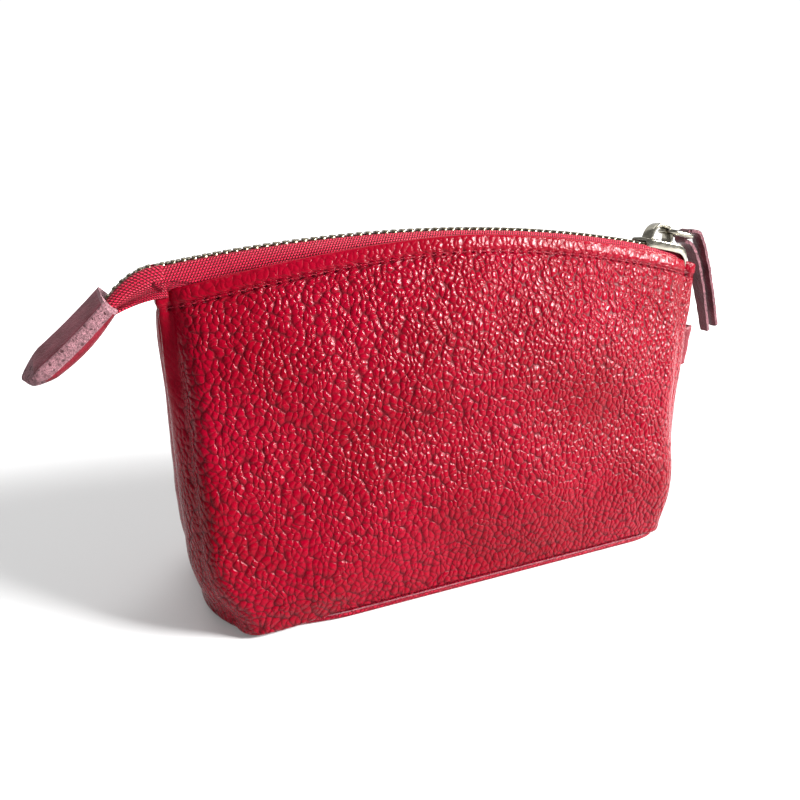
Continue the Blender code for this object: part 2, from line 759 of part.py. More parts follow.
def main():
    clear_scene()
    collection = new_collection("zippered_pouch")
    leather = material("red_leather", RED_LEATHER, 0.42)
    cloth = material("zip_tape", RED_TAPE, 0.8)
    lining = material("lining_cloth", LINING_RED, 0.9)
    metal = material("pale_nickel", PALE_NICKEL, 0.25, 1.0)
    thread = material("thread", RED_THREAD, 0.7)
    make_panels(leather, collection)
    make_linings(lining, collection)
    make_base(leather, collection)
    make_tapes(cloth, collection)
    make_teeth(metal, collection)
    make_stops(metal, collection)
    make_slider(metal, collection)
    make_link(metal, collection)
    make_strap(leather, collection)
    make_tail(cloth, metal, collection)
    place = make_tab(leather, collection)
    box_object("bottom_stop", (2.2, 4.8, 1.4), (3.2, 0, 0), place, metal, collection, 0.25)
    make_side_loop(leather, collection)
    make_stitching(thread, collection)
    make_pivots(collection)


main()
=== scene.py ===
"""The looks of the zippered pouch: grained leather, woven zip tape, nickel teeth and slider.

Lengths are millimetres in the same frame as the CAD: X along the zip, -Y the front, Z up. MM turns
them into metres.
"""

from math import asin, copysign, cos, exp, pi, radians, sin, sqrt

import bmesh
import bpy
import numpy as np
from mathutils import Matrix, Vector


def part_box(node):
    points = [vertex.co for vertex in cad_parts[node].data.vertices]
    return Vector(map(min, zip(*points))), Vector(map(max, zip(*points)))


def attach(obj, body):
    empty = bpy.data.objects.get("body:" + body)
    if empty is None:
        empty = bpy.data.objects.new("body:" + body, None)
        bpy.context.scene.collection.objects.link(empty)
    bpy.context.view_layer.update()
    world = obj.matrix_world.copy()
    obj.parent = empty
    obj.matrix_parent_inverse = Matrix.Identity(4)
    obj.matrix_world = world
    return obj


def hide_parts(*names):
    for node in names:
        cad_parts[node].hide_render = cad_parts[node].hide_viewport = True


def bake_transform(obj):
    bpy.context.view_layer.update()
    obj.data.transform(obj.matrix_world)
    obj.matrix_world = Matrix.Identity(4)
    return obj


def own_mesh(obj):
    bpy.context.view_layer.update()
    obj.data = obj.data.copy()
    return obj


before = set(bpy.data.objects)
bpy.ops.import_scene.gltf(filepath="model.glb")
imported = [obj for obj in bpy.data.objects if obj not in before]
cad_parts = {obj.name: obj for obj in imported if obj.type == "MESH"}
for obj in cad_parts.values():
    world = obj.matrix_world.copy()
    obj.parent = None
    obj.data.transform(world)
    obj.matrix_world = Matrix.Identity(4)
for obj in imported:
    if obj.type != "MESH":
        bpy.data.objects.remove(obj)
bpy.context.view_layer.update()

MM = 0.001

# The body, close to the CAD's
BASE_HALF_DEPTH, BASE_LEAN = 27.4, 2.9
LEFT_SEAM_X, LEFT_FOLD_X, LEFT_BASE_FOLD_X, LEFT_TUCK = -82.8, -80.4, -73.0, 2.0
RIGHT_FOLD_LEVELS, RIGHT_SEAM_LEVELS, RIGHT_FOOT = (71.6, 72.6, 79.6), (84.8, 89.6), 3.5
SIDE_BOW, BACK_SIDE_BOW, FRONT_BELLY, TAPER_POWER = 2.9, 3.2, 1.6, 1.52
FOLD_RADIUS, HEM_Z = 6.0, 2.0
HEM_ROLL, HEM_DROP, BACK_BULGE = 1.3, 1.25, 1.2
CREST_Z, CREST_RADIUS, EDGE_CREST_Z = 102.2, 440.0, 99.7
LEFT_DROP, RIGHT_DROP = (13.2, 84.0, 1.6), (8.8, 80.0, 1.9)
TAPE_SHOWING, TOOTH_PITCH, ZIP_LEFT, ZIP_RIGHT = 8.6, 2.54, -84.0, 83.6
STITCH_DROP, STITCH_PITCH, STITCH_RADIUS = 3.7, 3.1, 0.24
LIP_RADIUS = 0.75
WELT_RADIUS, WELT_Z = 0.17, 1.78
TAPE_THICK, CORD_RADIUS, BACK_ROW_DROP = 0.55, 0.45, 0.3
WEAVE_ROW, WEAVE_STEP = 0.66, 0.78

# The slider, its link and strap, and the end tab
SLIDER_X, WALL = 76.0, 0.85
LINK_PIVOT = Vector((77.5, 0.0, 100.4))
LINK_TIP = Vector((87.2, 0.0, 98.6))
LINK_HALF_WIDTH, WIRE_RADIUS, LINK_SQUARE = 3.9, 0.85, 0.55
STRAP_HALF_WIDTH, STRAP_HALF_THICK, STRAP_TURN = 2.15, 0.66, 1.75
TAB_TOP, TAB_END = Vector((-96.3, 0.0, 85.4)), Vector((-116.0, 0.0, 67.6))
TAB_HALF_WIDTH, TAB_TIP, TAB_ROLL = 6.6, 6.2, radians(-13)

# The camera: where it is, its yaw, pitch and roll in degrees, and its lens in millimetres
CAMERA_AT, CAMERA_TURNS = (-82.1, -160.3, 108.6), (-21.6, 18.5, 0.5)
LENS, SENSOR_WIDTH = 26.45, 36.0
FLOOR_HALF, FLOOR_GAP = 6000.0, 0.2

# Swellings and hollows of the leather: x, z, radius along x, radius along z, height
SWELLS = (
    (-48, 12, 20, 12, 1.7), (12, 24, 24, 9, 1.3), (62, 18, 14, 12, 1.3), (44, 70, 34, 13, 1.0),
    (-22, 50, 40, 9, -1.5), (-60, 42, 16, 12, -0.7), (38, 45, 22, 8, -1.2), (-62, 74, 12, 20, 0.5),
    (-10, 8, 20, 8, -0.7), (74, 40, 9, 20, -0.5),
)


def crest_z(x):
    """The height of the zip's crest, an arc."""
    return CREST_Z - CREST_RADIUS + np.sqrt(CREST_RADIUS**2 - np.square(x))


def edge_z(x):
    """The height of the panels' top edges, which drop further on the left."""
    z = EDGE_CREST_Z
    for way, (drop, reach, power) in ((-1, LEFT_DROP), (1, RIGHT_DROP)):
        z = z - drop * (np.clip(way * x, 0, None) / reach) ** power
    return z


def mouth_half_gap(x):
    """How far each panel's top edge lies from the middle, so that the tape shows its full width."""
    return np.sqrt(np.maximum(TAPE_SHOWING**2 - (crest_z(x) - edge_z(x)) ** 2, 16.0))


def half_depth(x, h):
    """How far the wall stands from the middle at a share h of the height."""
    mouth = mouth_half_gap(x)
    base = BASE_HALF_DEPTH + BASE_LEAN * np.clip((60.0 - x) / 130.0, 0.0, 1.0)
    taper = mouth + (base - mouth) * (1.0 - h**TAPER_POWER)
    return taper + FRONT_BELLY * sin(pi * h) * np.maximum(0.0, 1.0 - (x / 80.0) ** 2)


def lerp(a, b, t):
    return a + (b - a) * t


def smoothstep(t):
    t = np.clip(t, 0.0, 1.0)
    return t * t * (3.0 - 2.0 * t)


def corner_x(h):
    """Where the sides fold and where they meet, at a share h of the height."""
    foot = (1.0 - smoothstep(h / 0.3)) ** 2
    left_fold = lerp(LEFT_FOLD_X, LEFT_BASE_FOLD_X, foot)
    low, middle, high = RIGHT_FOLD_LEVELS
    right_fold = low * (1 - h) * (1 - 2 * h) + middle * 4 * h * (1 - h) + high * h * (2 * h - 1)
    right_seam = lerp(*RIGHT_SEAM_LEVELS, h)
    return LEFT_SEAM_X + 0.5 * LEFT_TUCK * foot, left_fold, right_fold - RIGHT_FOOT * foot, right_seam


def bezier(a, b, c, t):
    t = t[:, None]
    return a * (1 - t) ** 2 + b * 2 * t * (1 - t) + c * t * t


def plan_curve(h, sides=30, fillet=16, front=330, bow_out=SIDE_BOW, left_bulge=0.0):
    """The front half's outline at a share h of the height, as an array of (x, y)."""
    left_seam, left_fold, right_fold, right_seam = corner_x(h)
    ends = []
    for seam_x, fold_x, way in ((left_seam, left_fold, -1), (right_seam, right_fold, 1)):
        seam = np.array((seam_x, -0.16))
        fold = np.array((fold_x, -float(half_depth(fold_x, h))))
        side = fold - seam
        length = np.linalg.norm(side)
        start = fold - side / length * min(FOLD_RADIUS, 0.45 * length)
        outward = np.array((way * abs(side[1]), -abs(side[0]))) / length
        bow = (seam + start) / 2 + outward * 2 * (bow_out + (left_bulge if way < 0 else 0.0))
        inner_x = fold_x - way * FOLD_RADIUS
        inner = np.array((inner_x, -float(half_depth(inner_x, h))))
        run = [bezier(seam, bow, start, np.arange(sides) / sides)]
        run.append(bezier(start, fold, inner, np.arange(fillet) / fillet))
        ends.append((np.concatenate(run), inner_x))
    (left, from_x), (right, to_x) = ends
    xs = np.linspace(from_x, to_x, front + 1)
    middle = np.stack([xs, -half_depth(xs, h)], axis=1)
    return np.concatenate([left, middle, right[::-1]])


def inset(points, distance):
    """The outline moved inwards along its own normals."""
    along = np.gradient(points, axis=0)
    along /= np.linalg.norm(along, axis=1)[:, None]
    normal = np.stack([-along[:, 1], along[:, 0]], axis=1)
    return points + normal * np.asarray(distance).reshape(-1, 1)


def normals(grid):
    """Unit normals of a grid of points (rows, columns, 3)."""
    normal = np.cross(np.gradient(grid, axis=1), np.gradient(grid, axis=0))
    size = np.linalg.norm(normal, axis=2, keepdims=True)
    return normal / np.maximum(size, 1e-9)


def undulate(x, z, scale, seed):
    """Soft irregular waves between about -1 and 1."""
    total = 0.0
    for k in range(7):
        turn = seed * 1.7 + k * 2.399
        length = scale * (0.7 + 0.13 * k)
        place = x * cos(turn) + z * sin(turn)
        total = total + np.sin(place * 2 * pi / length + seed + 5.1 * k)
    return total / 4.0


# ---- materials


class Nodes:
    """A short way to write the nodes of a material, or of the world's light."""

    def __init__(self, name, world=False):
        self.made = (bpy.data.worlds if world else bpy.data.materials).new(name)
        self.made.use_nodes = True
        self.tree = self.made.node_tree
        self.shader = self.tree.nodes["Background" if world else "Principled BSDF"]

    def add(self, kind, inputs=None, **settings):
        node = self.tree.nodes.new("ShaderNode" + kind)
        for key, value in settings.items():
            setattr(node, key, value)
        for key, value in (inputs or {}).items():
            self.put(node.inputs[key], value)
        return node

    def put(self, socket, value):
        if isinstance(value, bpy.types.NodeSocket):
            self.tree.links.new(value, socket)
        else:
            socket.default_value = value

    def math(self, operation, a, b=0.0, clamp=False):
        node = self.add("Math", {0: a, 1: b}, operation=operation, use_clamp=clamp)
        return node.outputs[0]

    def times(self, a, b):
        return self.math("MULTIPLY", a, b)

    def plus(self, a, b, clamp=False):
        return self.math("ADD", a, b, clamp)

    def vector_math(self, operation, a, b):
        second = "Scale" if operation == "SCALE" else 1
        return self.add("VectorMath", {0: a, second: b}, operation=operation).outputs[0]

    def remap(self, value, low, high, to_low=0.0, to_high=1.0, smooth=False):
        inputs = {"Value": value, "From Min": low, "From Max": high, "To Min": to_low, "To Max": to_high}
        kind = "SMOOTHSTEP" if smooth else "LINEAR"
        return self.add("MapRange", inputs, interpolation_type=kind).outputs["Result"]

    def mix(self, factor, a, b):
        node = self.add("Mix", data_type="RGBA")
        self.put(node.inputs["Factor"], factor)
        self.put(node.inputs["A"], a)
        self.put(node.inputs["B"], b)
        return node.outputs["Result"]

    def place(self, stretch=(1, 1, 1)):
        where = self.add("TexCoord").outputs["Object"]
        return self.add("Mapping", {"Vector": where, "Scale": stretch}).outputs["Vector"]

    def noise(self, vector, scale, detail=2.0, roughness=0.5, output="Fac"):
        inputs = {"Vector": vector, "Scale": scale, "Detail": detail, "Roughness": roughness}
        return self.add("TexNoise", inputs).outputs[output]

    def cells(self, vector, scale, feature="DISTANCE_TO_EDGE", inputs=None, **settings):
        inputs = {"Vector": vector, "Scale": scale, **(inputs or {})}
        return self.add("TexVoronoi", inputs, feature=feature, **settings).outputs["Distance"]

    def waves(self, inputs, direction):
        return self.add("TexWave", inputs, bands_direction=direction).outputs["Fac"]

    def attribute(self, name, output="Fac"):
        return self.add("Attribute", attribute_name=name).outputs[output]

    def bump(self, height, distance, strength=1.0):
        inputs = {"Height": height, "Distance": distance, "Strength": strength}
        return self.add("Bump", inputs).outputs["Normal"]

    def set(self, **values):
        for key, value in values.items():
            self.put(self.shader.inputs[key.replace("_", " ")], value)


def warped(n, where, scale, amount):
    """The place moved about by noise, so that a pattern laid on it loses its regularity."""
    shift = n.noise(where, scale, output="Color")
    shift = n.vector_math("SUBTRACT", shift, (0.5, 0.5, 0.5))
    return n.vector_math("ADD", where, n.vector_math("SCALE", shift, amount))


def pebbled_leather(name, light, dark, pitch, depth, gloss):
    """Rounded pebbles with painted shade in their creases, laid out on the piece's own (along, up)
    millimetres.
    """
    n = Nodes(name)
    skin = n.attribute("skin", "Vector")
    where = warped(n, warped(n, skin, 0.14, 3.2), 0.8, 0.7)
    turn = {"Vector": where, "Rotation": (0, 0, 0.5), "Scale": (1.06, 0.84, 1.0)}
    turned, scale, flat_cells = n.add("Mapping", turn).outputs[0], 1.0 / pitch, {"voronoi_dimensions": "2D"}
    rim = n.cells(turned, scale, inputs={"Randomness": 0.9}, **flat_cells)
    soft = {"Randomness": 0.9, "Smoothness": 0.3}
    middle = n.cells(turned, scale, "SMOOTH_F1", soft, **flat_cells)
    crown = n.math("SUBTRACT", 1.0, n.math("POWER", n.remap(middle, 0.0, 0.82), 1.6))
    groove = n.remap(rim, 0.0, 0.22, smooth=True)
    fine = n.noise(where, 2.6, 3.0)
    patch = n.noise(where, 0.07, 2.0)
    height = n.plus(n.times(crown, 0.92), n.times(groove, 0.08))
    height = n.times(height, n.remap(patch, 0.3, 0.7, 0.7, 1.1))
    height = n.plus(height, n.times(fine, 0.06))
    # Painted shade: the creases and the low flanks between the pebbles are darkened towards the dark
    # colour.
    crease = n.math("POWER", n.math("SUBTRACT", 1.0, n.remap(rim, 0.0, 0.26)), 1.6)
    crease_shade = n.plus(n.times(crease, 0.6), n.remap(crown, 0.5, 0.15, 0.0, 0.6), clamp=True)
    kept = n.remap(n.attribute("flat"), 0.0, 1.0, 1.0, 0.14)
    height = n.times(height, kept)
    crease_shade = n.times(crease_shade, kept)
    deeper = (0.8 * light[0], 0.5 * light[1], 0.6 * light[2], 1.0)
    colour = n.mix(n.remap(n.noise(where, 0.03, 3.0), 0.35, 0.65), deeper, light)
    colour = n.mix(n.times(crease_shade, 0.7), colour, dark)
    # Painted shade: near-black in the stitch holes and along the side seams' grooves.
    colour = n.mix(n.attribute("hole_shade"), colour, (0.02, 0.0, 0.002, 1.0))
    worn = n.plus(crease_shade, n.times(n.attribute("flat"), 0.3))
    n.set(Base_Color=colour, Roughness=n.remap(worn, 0.0, 1.0, gloss, gloss + 0.3))
    n.set(Normal=n.bump(height, depth))
    n.set(Specular_IOR_Level=0.09)
    return n.made


def grained_leather(name, light, dark):
    """The bottom's finer, flatter grain."""
    n = Nodes(name)
    where = n.place()
    groove = n.remap(n.cells(where, 900.0), 0.0, 0.25, smooth=True)
    soft = n.noise(where, 120.0, 3.0)
    # Painted shade: the grain's creases are darkened; the soft noise varies the tone at random.
    shade = n.times(groove, n.remap(soft, 0.3, 0.7, 0.7, 1.0))
    n.set(Base_Color=n.mix(shade, dark, light), Roughness=n.remap(soft, 0.3, 0.7, 0.4, 0.55))
    n.set(Normal=n.bump(groove, 0.00016))
    n.set(Specular_IOR_Level=0.12)
    return n.made


def smooth_leather(name, light, dark, gloss):
    """Fine smooth leather with faint creases, for the tab's and strap's faces."""
    n = Nodes(name)
    where = n.place()
    soft = n.noise(where, 160.0, 4.0, 0.6)
    fine = n.noise(where, 1800.0, 3.0)
    groove = n.remap(n.cells(where, 900.0), 0.0, 0.2, smooth=True)
    height = n.plus(n.plus(soft, n.times(fine, 0.25)), n.times(groove, 0.2))
    n.set(Base_Color=n.mix(n.remap(soft, 0.35, 0.65), dark, light))
    n.set(Roughness=n.remap(fine, 0.3, 0.7, gloss, gloss + 0.15))
    n.set(Normal=n.bump(height, 0.0003))
    n.set(Specular_IOR_Level=0.25)
    return n.made


def raw_edge(name, light, dark):
    """The cut edge of hide: pale, fibrous and pitted."""
    n = Nodes(name)
    where = n.place()
    fibre = n.noise(where, 1500.0, 5.0, 0.75)
    pits = n.remap(n.cells(where, 760.0, "F1"), 0.2, 0.46, smooth=True)
    blot = n.remap(n.noise(where, 520.0, 3.0, 0.6), 0.45, 0.54, smooth=True)
    # Painted shade: the colour darkens in the pits and between the fibres, where the bump sinks them.
    shade = n.times(n.remap(fibre, 0.36, 0.58, 0.25, 1.0), n.math("MAXIMUM", pits, blot))
    height = n.plus(fibre, n.times(shade, 0.9))
    n.set(Base_Color=n.mix(shade, dark, light), Roughness=0.8, Normal=n.bump(height, 0.0009))
    n.set(Sheen_Weight=0.15, Sheen_Roughness=0.6, Sheen_Tint=(1.0, 0.85, 0.88, 1.0))
    n.set(Specular_IOR_Level=0.2)
    return n.made


def woven_tape(name, light, dark):
    """Zip tape of slanting thread floats. The weave runs on the piece's own (along, across) millimetres."""
    n = Nodes(name)
    place = n.add("SeparateXYZ", {0: n.attribute("weave", "Vector")})
    along, across = place.outputs[0], place.outputs[1]
    row = n.math("DIVIDE", across, WEAVE_ROW)
    odd = n.math("PINGPONG", n.math("FLOOR", row), 1.0)
    lean = n.times(n.math("FRACT", row), 0.55)
    step = n.plus(n.math("DIVIDE", along, WEAVE_STEP), n.plus(n.times(odd, 0.5), lean))
    long_way = n.math("ABSOLUTE", n.math("SINE", n.times(step, pi)))
    short_way = n.math("ABSOLUTE", n.math("SINE", n.times(row, pi)))
    float_up = n.times(n.remap(long_way, 0.1, 0.95), n.remap(short_way, 0.05, 0.8))
    fibre = n.noise(n.place(), 3000.0, 3.0)
    height = n.plus(float_up, n.times(fibre, 0.25))
    # Painted shade: the tape darkens between the thread floats, where the bump sinks it.
    shade = n.times(n.math("POWER", float_up, 1.8), n.remap(fibre, 0.3, 0.7, 0.7, 1.0))
    n.set(Base_Color=n.mix(shade, dark, light), Roughness=n.remap(shade, 0.0, 1.0, 0.7, 0.36))
    n.set(Normal=n.bump(height, 0.00045))
    n.set(Specular_IOR_Level=0.3)
    return n.made


def lining_cloth(name, light, dark):
    """A fine plain weave."""
    n = Nodes(name)
    where = n.place()
    threads = {"Vector": where, "Scale": 900.0, "Distortion": 0.6}
    weave = n.times(n.waves(threads, "X"), n.waves(threads, "Z"))
    soft = n.noise(where, 90.0, 3.0)
    # Painted shade: darker between the threads, where the bump sinks them, with soft noise varying the
    # tone.
    n.set(Base_Color=n.mix(n.times(weave, soft), dark, light), Roughness=0.9)
    n.set(Normal=n.bump(weave, 0.00012), Sheen_Weight=0.3, Sheen_Tint=(1.0, 0.7, 0.75, 1.0))
    return n.made


def nickel(name, colour, gloss):
    """Polished metal with faint worn patches."""
    n = Nodes(name)
    where = n.place((1.0, 1.0, 4.0))
    worn = n.noise(where, 420.0, 4.0, 0.6)
    soft = n.noise(where, 90.0, 2.0)
    darker = tuple(0.72 * c for c in colour[:3]) + (1,)
    n.set(Base_Color=n.mix(n.remap(worn, 0.35, 0.6), darker, colour), Metallic=1.0)
    n.set(Roughness=n.remap(worn, 0.3, 0.7, gloss, gloss + 0.12), Normal=n.bump(soft, 0.00015, 0.6))
    return n.made


def sewing_thread(name, light, dark):
    """Twisted thread, its ply showing as slanting bands."""
    n = Nodes(name)
    ply = n.waves({"Vector": n.place(), "Scale": 700.0}, "DIAGONAL")
    # Painted shade: darker in the grooves between the ply's bands.
    n.set(Base_Color=n.mix(ply, dark, light), Roughness=0.6, Normal=n.bump(ply, 0.00012))
    n.set(Specular_IOR_Level=0.2)
    return n.made


def glowing_floor(name):
    """White paper with a painted glow: faint near the pouch and rising to plain white far behind it."""
    n = Nodes(name)
    soft = n.noise(n.place(), 6.0, 2.0)
    n.set(Base_Color=n.mix(soft, (0.60, 0.60, 0.60, 1), (0.63, 0.63, 0.63, 1)), Roughness=0.8)
    where = n.add("SeparateXYZ", {0: n.place()})
    # Painted light: the floor glows, faintly near the pouch, where it lightens the shadows, and fully far
    # behind it.
    n.set(Emission_Strength=n.remap(where.outputs[1], 0.1, 0.55, 0.12, 1.0, smooth=True))
    n.set(Emission_Color=(1.0, 1.0, 1.0, 1.0))
    return n.made


# The second colour is the painted shade for the leather's creases.
RED, CREASE_SHADE = (0.205, 0.0, 0.010, 1), (0.036, 0.0, 0.002, 1)
LEATHER = pebbled_leather("pebbled_leather", RED, CREASE_SHADE, pitch=1.68, depth=0.00054, gloss=0.18)
BASE_LEATHER = grained_leather("base_leather", (0.28, 0.002, 0.016, 1), (0.13, 0.0, 0.007, 1))
# Painted shade and sheen: the strap's faces and the tab's top are red leather, coloured a dim mauve for the
# shade and grey sheen on them.
STRAP_SHADE_AND_SHEEN = smooth_leather("strap_shade_and_sheen", (0.10, 0.016, 0.026, 1), (0.05, 0.007, 0.012, 1), 0.45)
TAB_TOP_SHADE_AND_SHEEN = smooth_leather("tab_top_shade_and_sheen", (0.24, 0.052, 0.075, 1), (0.13, 0.022, 0.033, 1), 0.45)
RED_FACE = smooth_leather("smooth_red_leather", (0.17, 0.010, 0.020, 1), (0.11, 0.005, 0.011, 1), 0.42)
RAW = raw_edge("raw_hide_edge", (0.46, 0.20, 0.235, 1), (0.06, 0.010, 0.016, 1))
# Painted light: the tab's cut end is pale raw hide made lighter still, to make up for the tail's shadow on
# it.
PALE_LIT_RAW = raw_edge("pale_lit_cut_edge", (0.60, 0.30, 0.34, 1), (0.34, 0.12, 0.15, 1))
TAPE = woven_tape("woven_tape", (0.66, 0.006, 0.05, 1), (0.19, 0.0, 0.010, 1))
# Painted highlight: the bottom welt is coloured pale as the light line along the base's rim.
WELT_HIGHLIGHT = raw_edge("welt_highlight", (0.44, 0.15, 0.18, 1), (0.24, 0.05, 0.07, 1))
STRAP_EDGE = raw_edge("strap_edge", (0.30, 0.10, 0.125, 1), (0.06, 0.010, 0.015, 1))
LINING = lining_cloth("lining_weave", (0.12, 0.003, 0.010, 1), (0.05, 0.001, 0.004, 1))
LOOP = smooth_leather("loop_leather", (0.17, 0.004, 0.014, 1), (0.12, 0.002, 0.009, 1), 0.4)
NICKEL = nickel("pale_nickel", (0.33, 0.31, 0.255, 1), 0.14)
TEETH = nickel("nickel_teeth", (0.17, 0.145, 0.10, 1), 0.22)
THREAD = sewing_thread("red_thread", (0.26, 0.004, 0.018, 1), (0.10, 0.001, 0.006, 1))


# ---- mesh helpers


def add_object(name, data):
    obj = bpy.data.objects.new(name, data)
    bpy.context.scene.collection.objects.link(obj)
    return obj


def new_object(name, verts, faces, materials, attributes=None, slots=None):
    """An object from points in millimetres and faces, with float or vector attributes per point."""
    mesh = bpy.data.meshes.new(name)
    mesh.from_pydata((np.asarray(verts, float) * MM).tolist(), [], [tuple(map(int, f)) for f in faces])
    for look in materials:
        mesh.materials.append(look)
    if slots is not None:
        mesh.polygons.foreach_set("material_index", np.asarray(slots, np.int32))
    for key, values in (attributes or {}).items():
        values = np.asarray(values, np.float32)
        kind, field = ("FLOAT_VECTOR", "vector") if values.ndim == 2 else ("FLOAT", "value")
        mesh.attributes.new(key, kind, "POINT").data.foreach_set(field, values.reshape(-1))
    mesh.shade_smooth()
    mesh.update()
    return add_object(name, mesh)


def recalculate(obj):
    """Turns every face outwards."""
    bm = bmesh.new()
    bm.from_mesh(obj.data)
    bmesh.ops.recalc_face_normals(bm, faces=bm.faces)
    bm.to_mesh(obj.data)
    bm.free()
    obj.data.update()
    return obj


def grid_faces(rows, cols, start=0, flip=False):
    j, i = np.meshgrid(np.arange(rows - 1), np.arange(cols - 1), indexing="ij")
    a = (start + j * cols + i).ravel()
    quads = np.stack([a, a + 1, a + cols + 1, a + cols], axis=1)
    return quads[:, ::-1] if flip else quads


def shell(name, grid, thickness, materials, attributes=None):
    """A closed sheet of the given thickness about a grid of middle points."""
    rows, cols, _ = grid.shape
    normal = normals(grid) * thickness / 2
    verts = np.concatenate([(grid + normal).reshape(-1, 3), (grid - normal).reshape(-1, 3)])
    count = rows * cols
    faces = [grid_faces(rows, cols), grid_faces(rows, cols, count, flip=True)]
    ring = [(0, i) for i in range(cols)] + [(j, cols - 1) for j in range(1, rows)]
    ring += [(rows - 1, i) for i in range(cols - 2, -1, -1)] + [(j, 0) for j in range(rows - 2, 0, -1)]
    ids = np.array([j * cols + i for j, i in ring])
    after = np.roll(ids, -1)
    faces.append(np.stack([after, ids, ids + count, after + count], axis=1))
    doubled = {key: np.concatenate([v, v]) for key, v in (attributes or {}).items()}
    obj = new_object(name, verts, np.concatenate(faces), materials, attributes=doubled)
    return recalculate(obj)


def sharpen(obj, degrees):
    """Keeps a crease where two faces meet at more than this angle."""
    obj.data.set_sharp_from_angle(angle=radians(degrees))


def final_mesh(obj):
    """The mesh that an object's modifiers or curve make."""
    graph = bpy.context.evaluated_depsgraph_get()
    return bpy.data.meshes.new_from_object(obj.evaluated_get(graph))


def round_edges(obj, width):
    bevel = obj.modifiers.new("Rounding", "BEVEL")
    bevel.width = width * MM
    bevel.segments = 3
    bevel.angle_limit = radians(35)
    made = final_mesh(obj)
    obj.modifiers.clear()
    obj.data = made
    made.shade_smooth()
    sharpen(obj, 50)


def skin_rings(bm, rings):
    """A closed skin over rings of points in millimetres."""
    made = [[bm.verts.new(Vector(p) * MM) for p in ring] for ring in rings]
    for one, two in zip(made, made[1:]):
        for s in range(len(one)):
            t = (s + 1) % len(one)
            bm.faces.new((one[s], one[t], two[t], two[s]))
    bm.faces.new(made[0][::-1])
    bm.faces.new(made[-1])


def object_from_bmesh(bm, name, look):
    bmesh.ops.recalc_face_normals(bm, faces=bm.faces)
    mesh = bpy.data.meshes.new(name)
    bm.to_mesh(mesh)
    bm.free()
    mesh.materials.append(look)
    mesh.shade_smooth()
    return add_object(name, mesh)


def ring_faces(rings, size):
    """Faces between numbered rings of points, and last the two caps."""
    starts = [(k * size, s, (s + 1) % size) for k in range(rings - 1) for s in range(size)]
    faces = [(k + s, k + t, k + size + t, k + size + s) for k, s, t in starts]
    return faces + [tuple(range(size))[::-1], tuple(range((rings - 1) * size, rings * size))]


def tube(name, points, radius, look, sides=8, cyclic=False):
    """A round tube through points in millimetres."""
    curve = bpy.data.curves.new(name, "CURVE")
    curve.dimensions = "3D"
    curve.bevel_depth = radius * MM
    curve.bevel_resolution = sides // 2 - 1
    curve.use_fill_caps = not cyclic
    spline = curve.splines.new("POLY")
    spline.points.add(len(points) - 1)
    for target, p in zip(spline.points, points):
        target.co = (p[0] * MM, p[1] * MM, p[2] * MM, 1.0)
    spline.use_cyclic_u = cyclic
    curve.materials.append(look)
    holder = add_object(name + "_curve", curve)
    mesh = final_mesh(holder)
    mesh.name = name
    bpy.data.objects.remove(holder)
    mesh.shade_smooth()
    return add_object(name, mesh)


def mirrored(grid, side):
    return grid * np.array((1.0, side, 1.0))


# ---- the leather body


def panel_levels():
    """Shares of the height: dense near the turned top edge, for the stitch holes."""
    return np.concatenate([np.linspace(0.0, 0.90, 104)[:-1], np.linspace(0.90, 1.0, 30)])


def end_share(x):
    """0 along the front's middle, 1 round the ends, where the walls hide the bottom panel."""
    return smoothstep((-44.0 - x) / 22.0) + smoothstep((x - 56.0) / 16.0)


def hem_z(x):
    """The walls' lower edge, which drops over the bottom panel round the ends."""
    return HEM_Z - HEM_DROP * end_share(x)


def panel_surface(side=1):
    """The outer face's points from the bottom hem to the top edge, before any swelling."""
    rows = []
    bow_out = SIDE_BOW if side > 0 else BACK_SIDE_BOW
    for turn in np.radians((0, 18, 36, 54, 72)):
        ring = inset(plan_curve(0.0, bow_out=bow_out), HEM_ROLL * (1 - sin(turn)))
        z = hem_z(ring[:, 0]) + HEM_ROLL * (1 - cos(turn))
        rows.append(np.concatenate([ring, z[:, None]], axis=1))
    for share in panel_levels():
        ring = plan_curve(share, bow_out=bow_out, left_bulge=0.0 if side > 0 else BACK_BULGE * (1 - share))
        foot = hem_z(ring[:, 0]) + HEM_ROLL
        z = foot + (edge_z(ring[:, 0]) - foot) * share
        rows.append(np.concatenate([ring, z[:, None]], axis=1))
    return np.stack(rows)


def lengths(grid, axis=1):
    """Each point's distance from the first along its row (axis 1) or its column (axis 0)."""
    first = np.take(grid, [0], axis=axis)
    return np.cumsum(np.linalg.norm(np.diff(grid, axis=axis, prepend=first), axis=2), axis=axis)


def run_length(row):
    """Each point's distance along one line of points from its first."""
    return lengths(row[None])[0]


def swelling(grid, side):
    """How far each point of the face stands out from the smooth form."""
    x, z = grid[..., 0], grid[..., 2]
    rise = 0.32 * undulate(x, z * 1.3, 34.0, 1.0 + side) + 0.12 * undulate(x, z, 11.0, 3.0 + side)
    for cx, cz, wide, tall, height in SWELLS:
        at = cx if side > 0 else -cx * 0.9
        rise = rise + height * np.exp(-(((x - at) / wide) ** 2) - ((z - cz) / tall) ** 2)
    calm = smoothstep((edge_z(x) - z) / 12.0) * smoothstep((z - 2.0) / 7.0)
    return rise * (0.12 + 0.88 * calm)


def from_seams(grid):
    """Each point's distance along the piece from the nearer side seam."""
    along = lengths(grid)
    return np.minimum(along, along[:, -1:] - along)


def seam_roll(grid):
    """Both halves roll inwards where they meet at the sides."""
    near = from_seams(grid)
    roll = np.clip(1.0 - near / 1.5, 0.0, 1.0)
    return -1.15 * roll**2 + 0.4 * np.exp(-(((near - 2.1) / 0.8) ** 2))


def side_calm(grid):
    """Where the grain is pulled flat: round the left side, towards its seam."""
    near = lengths(grid)
    return smoothstep((15.0 - near) / 7.0)


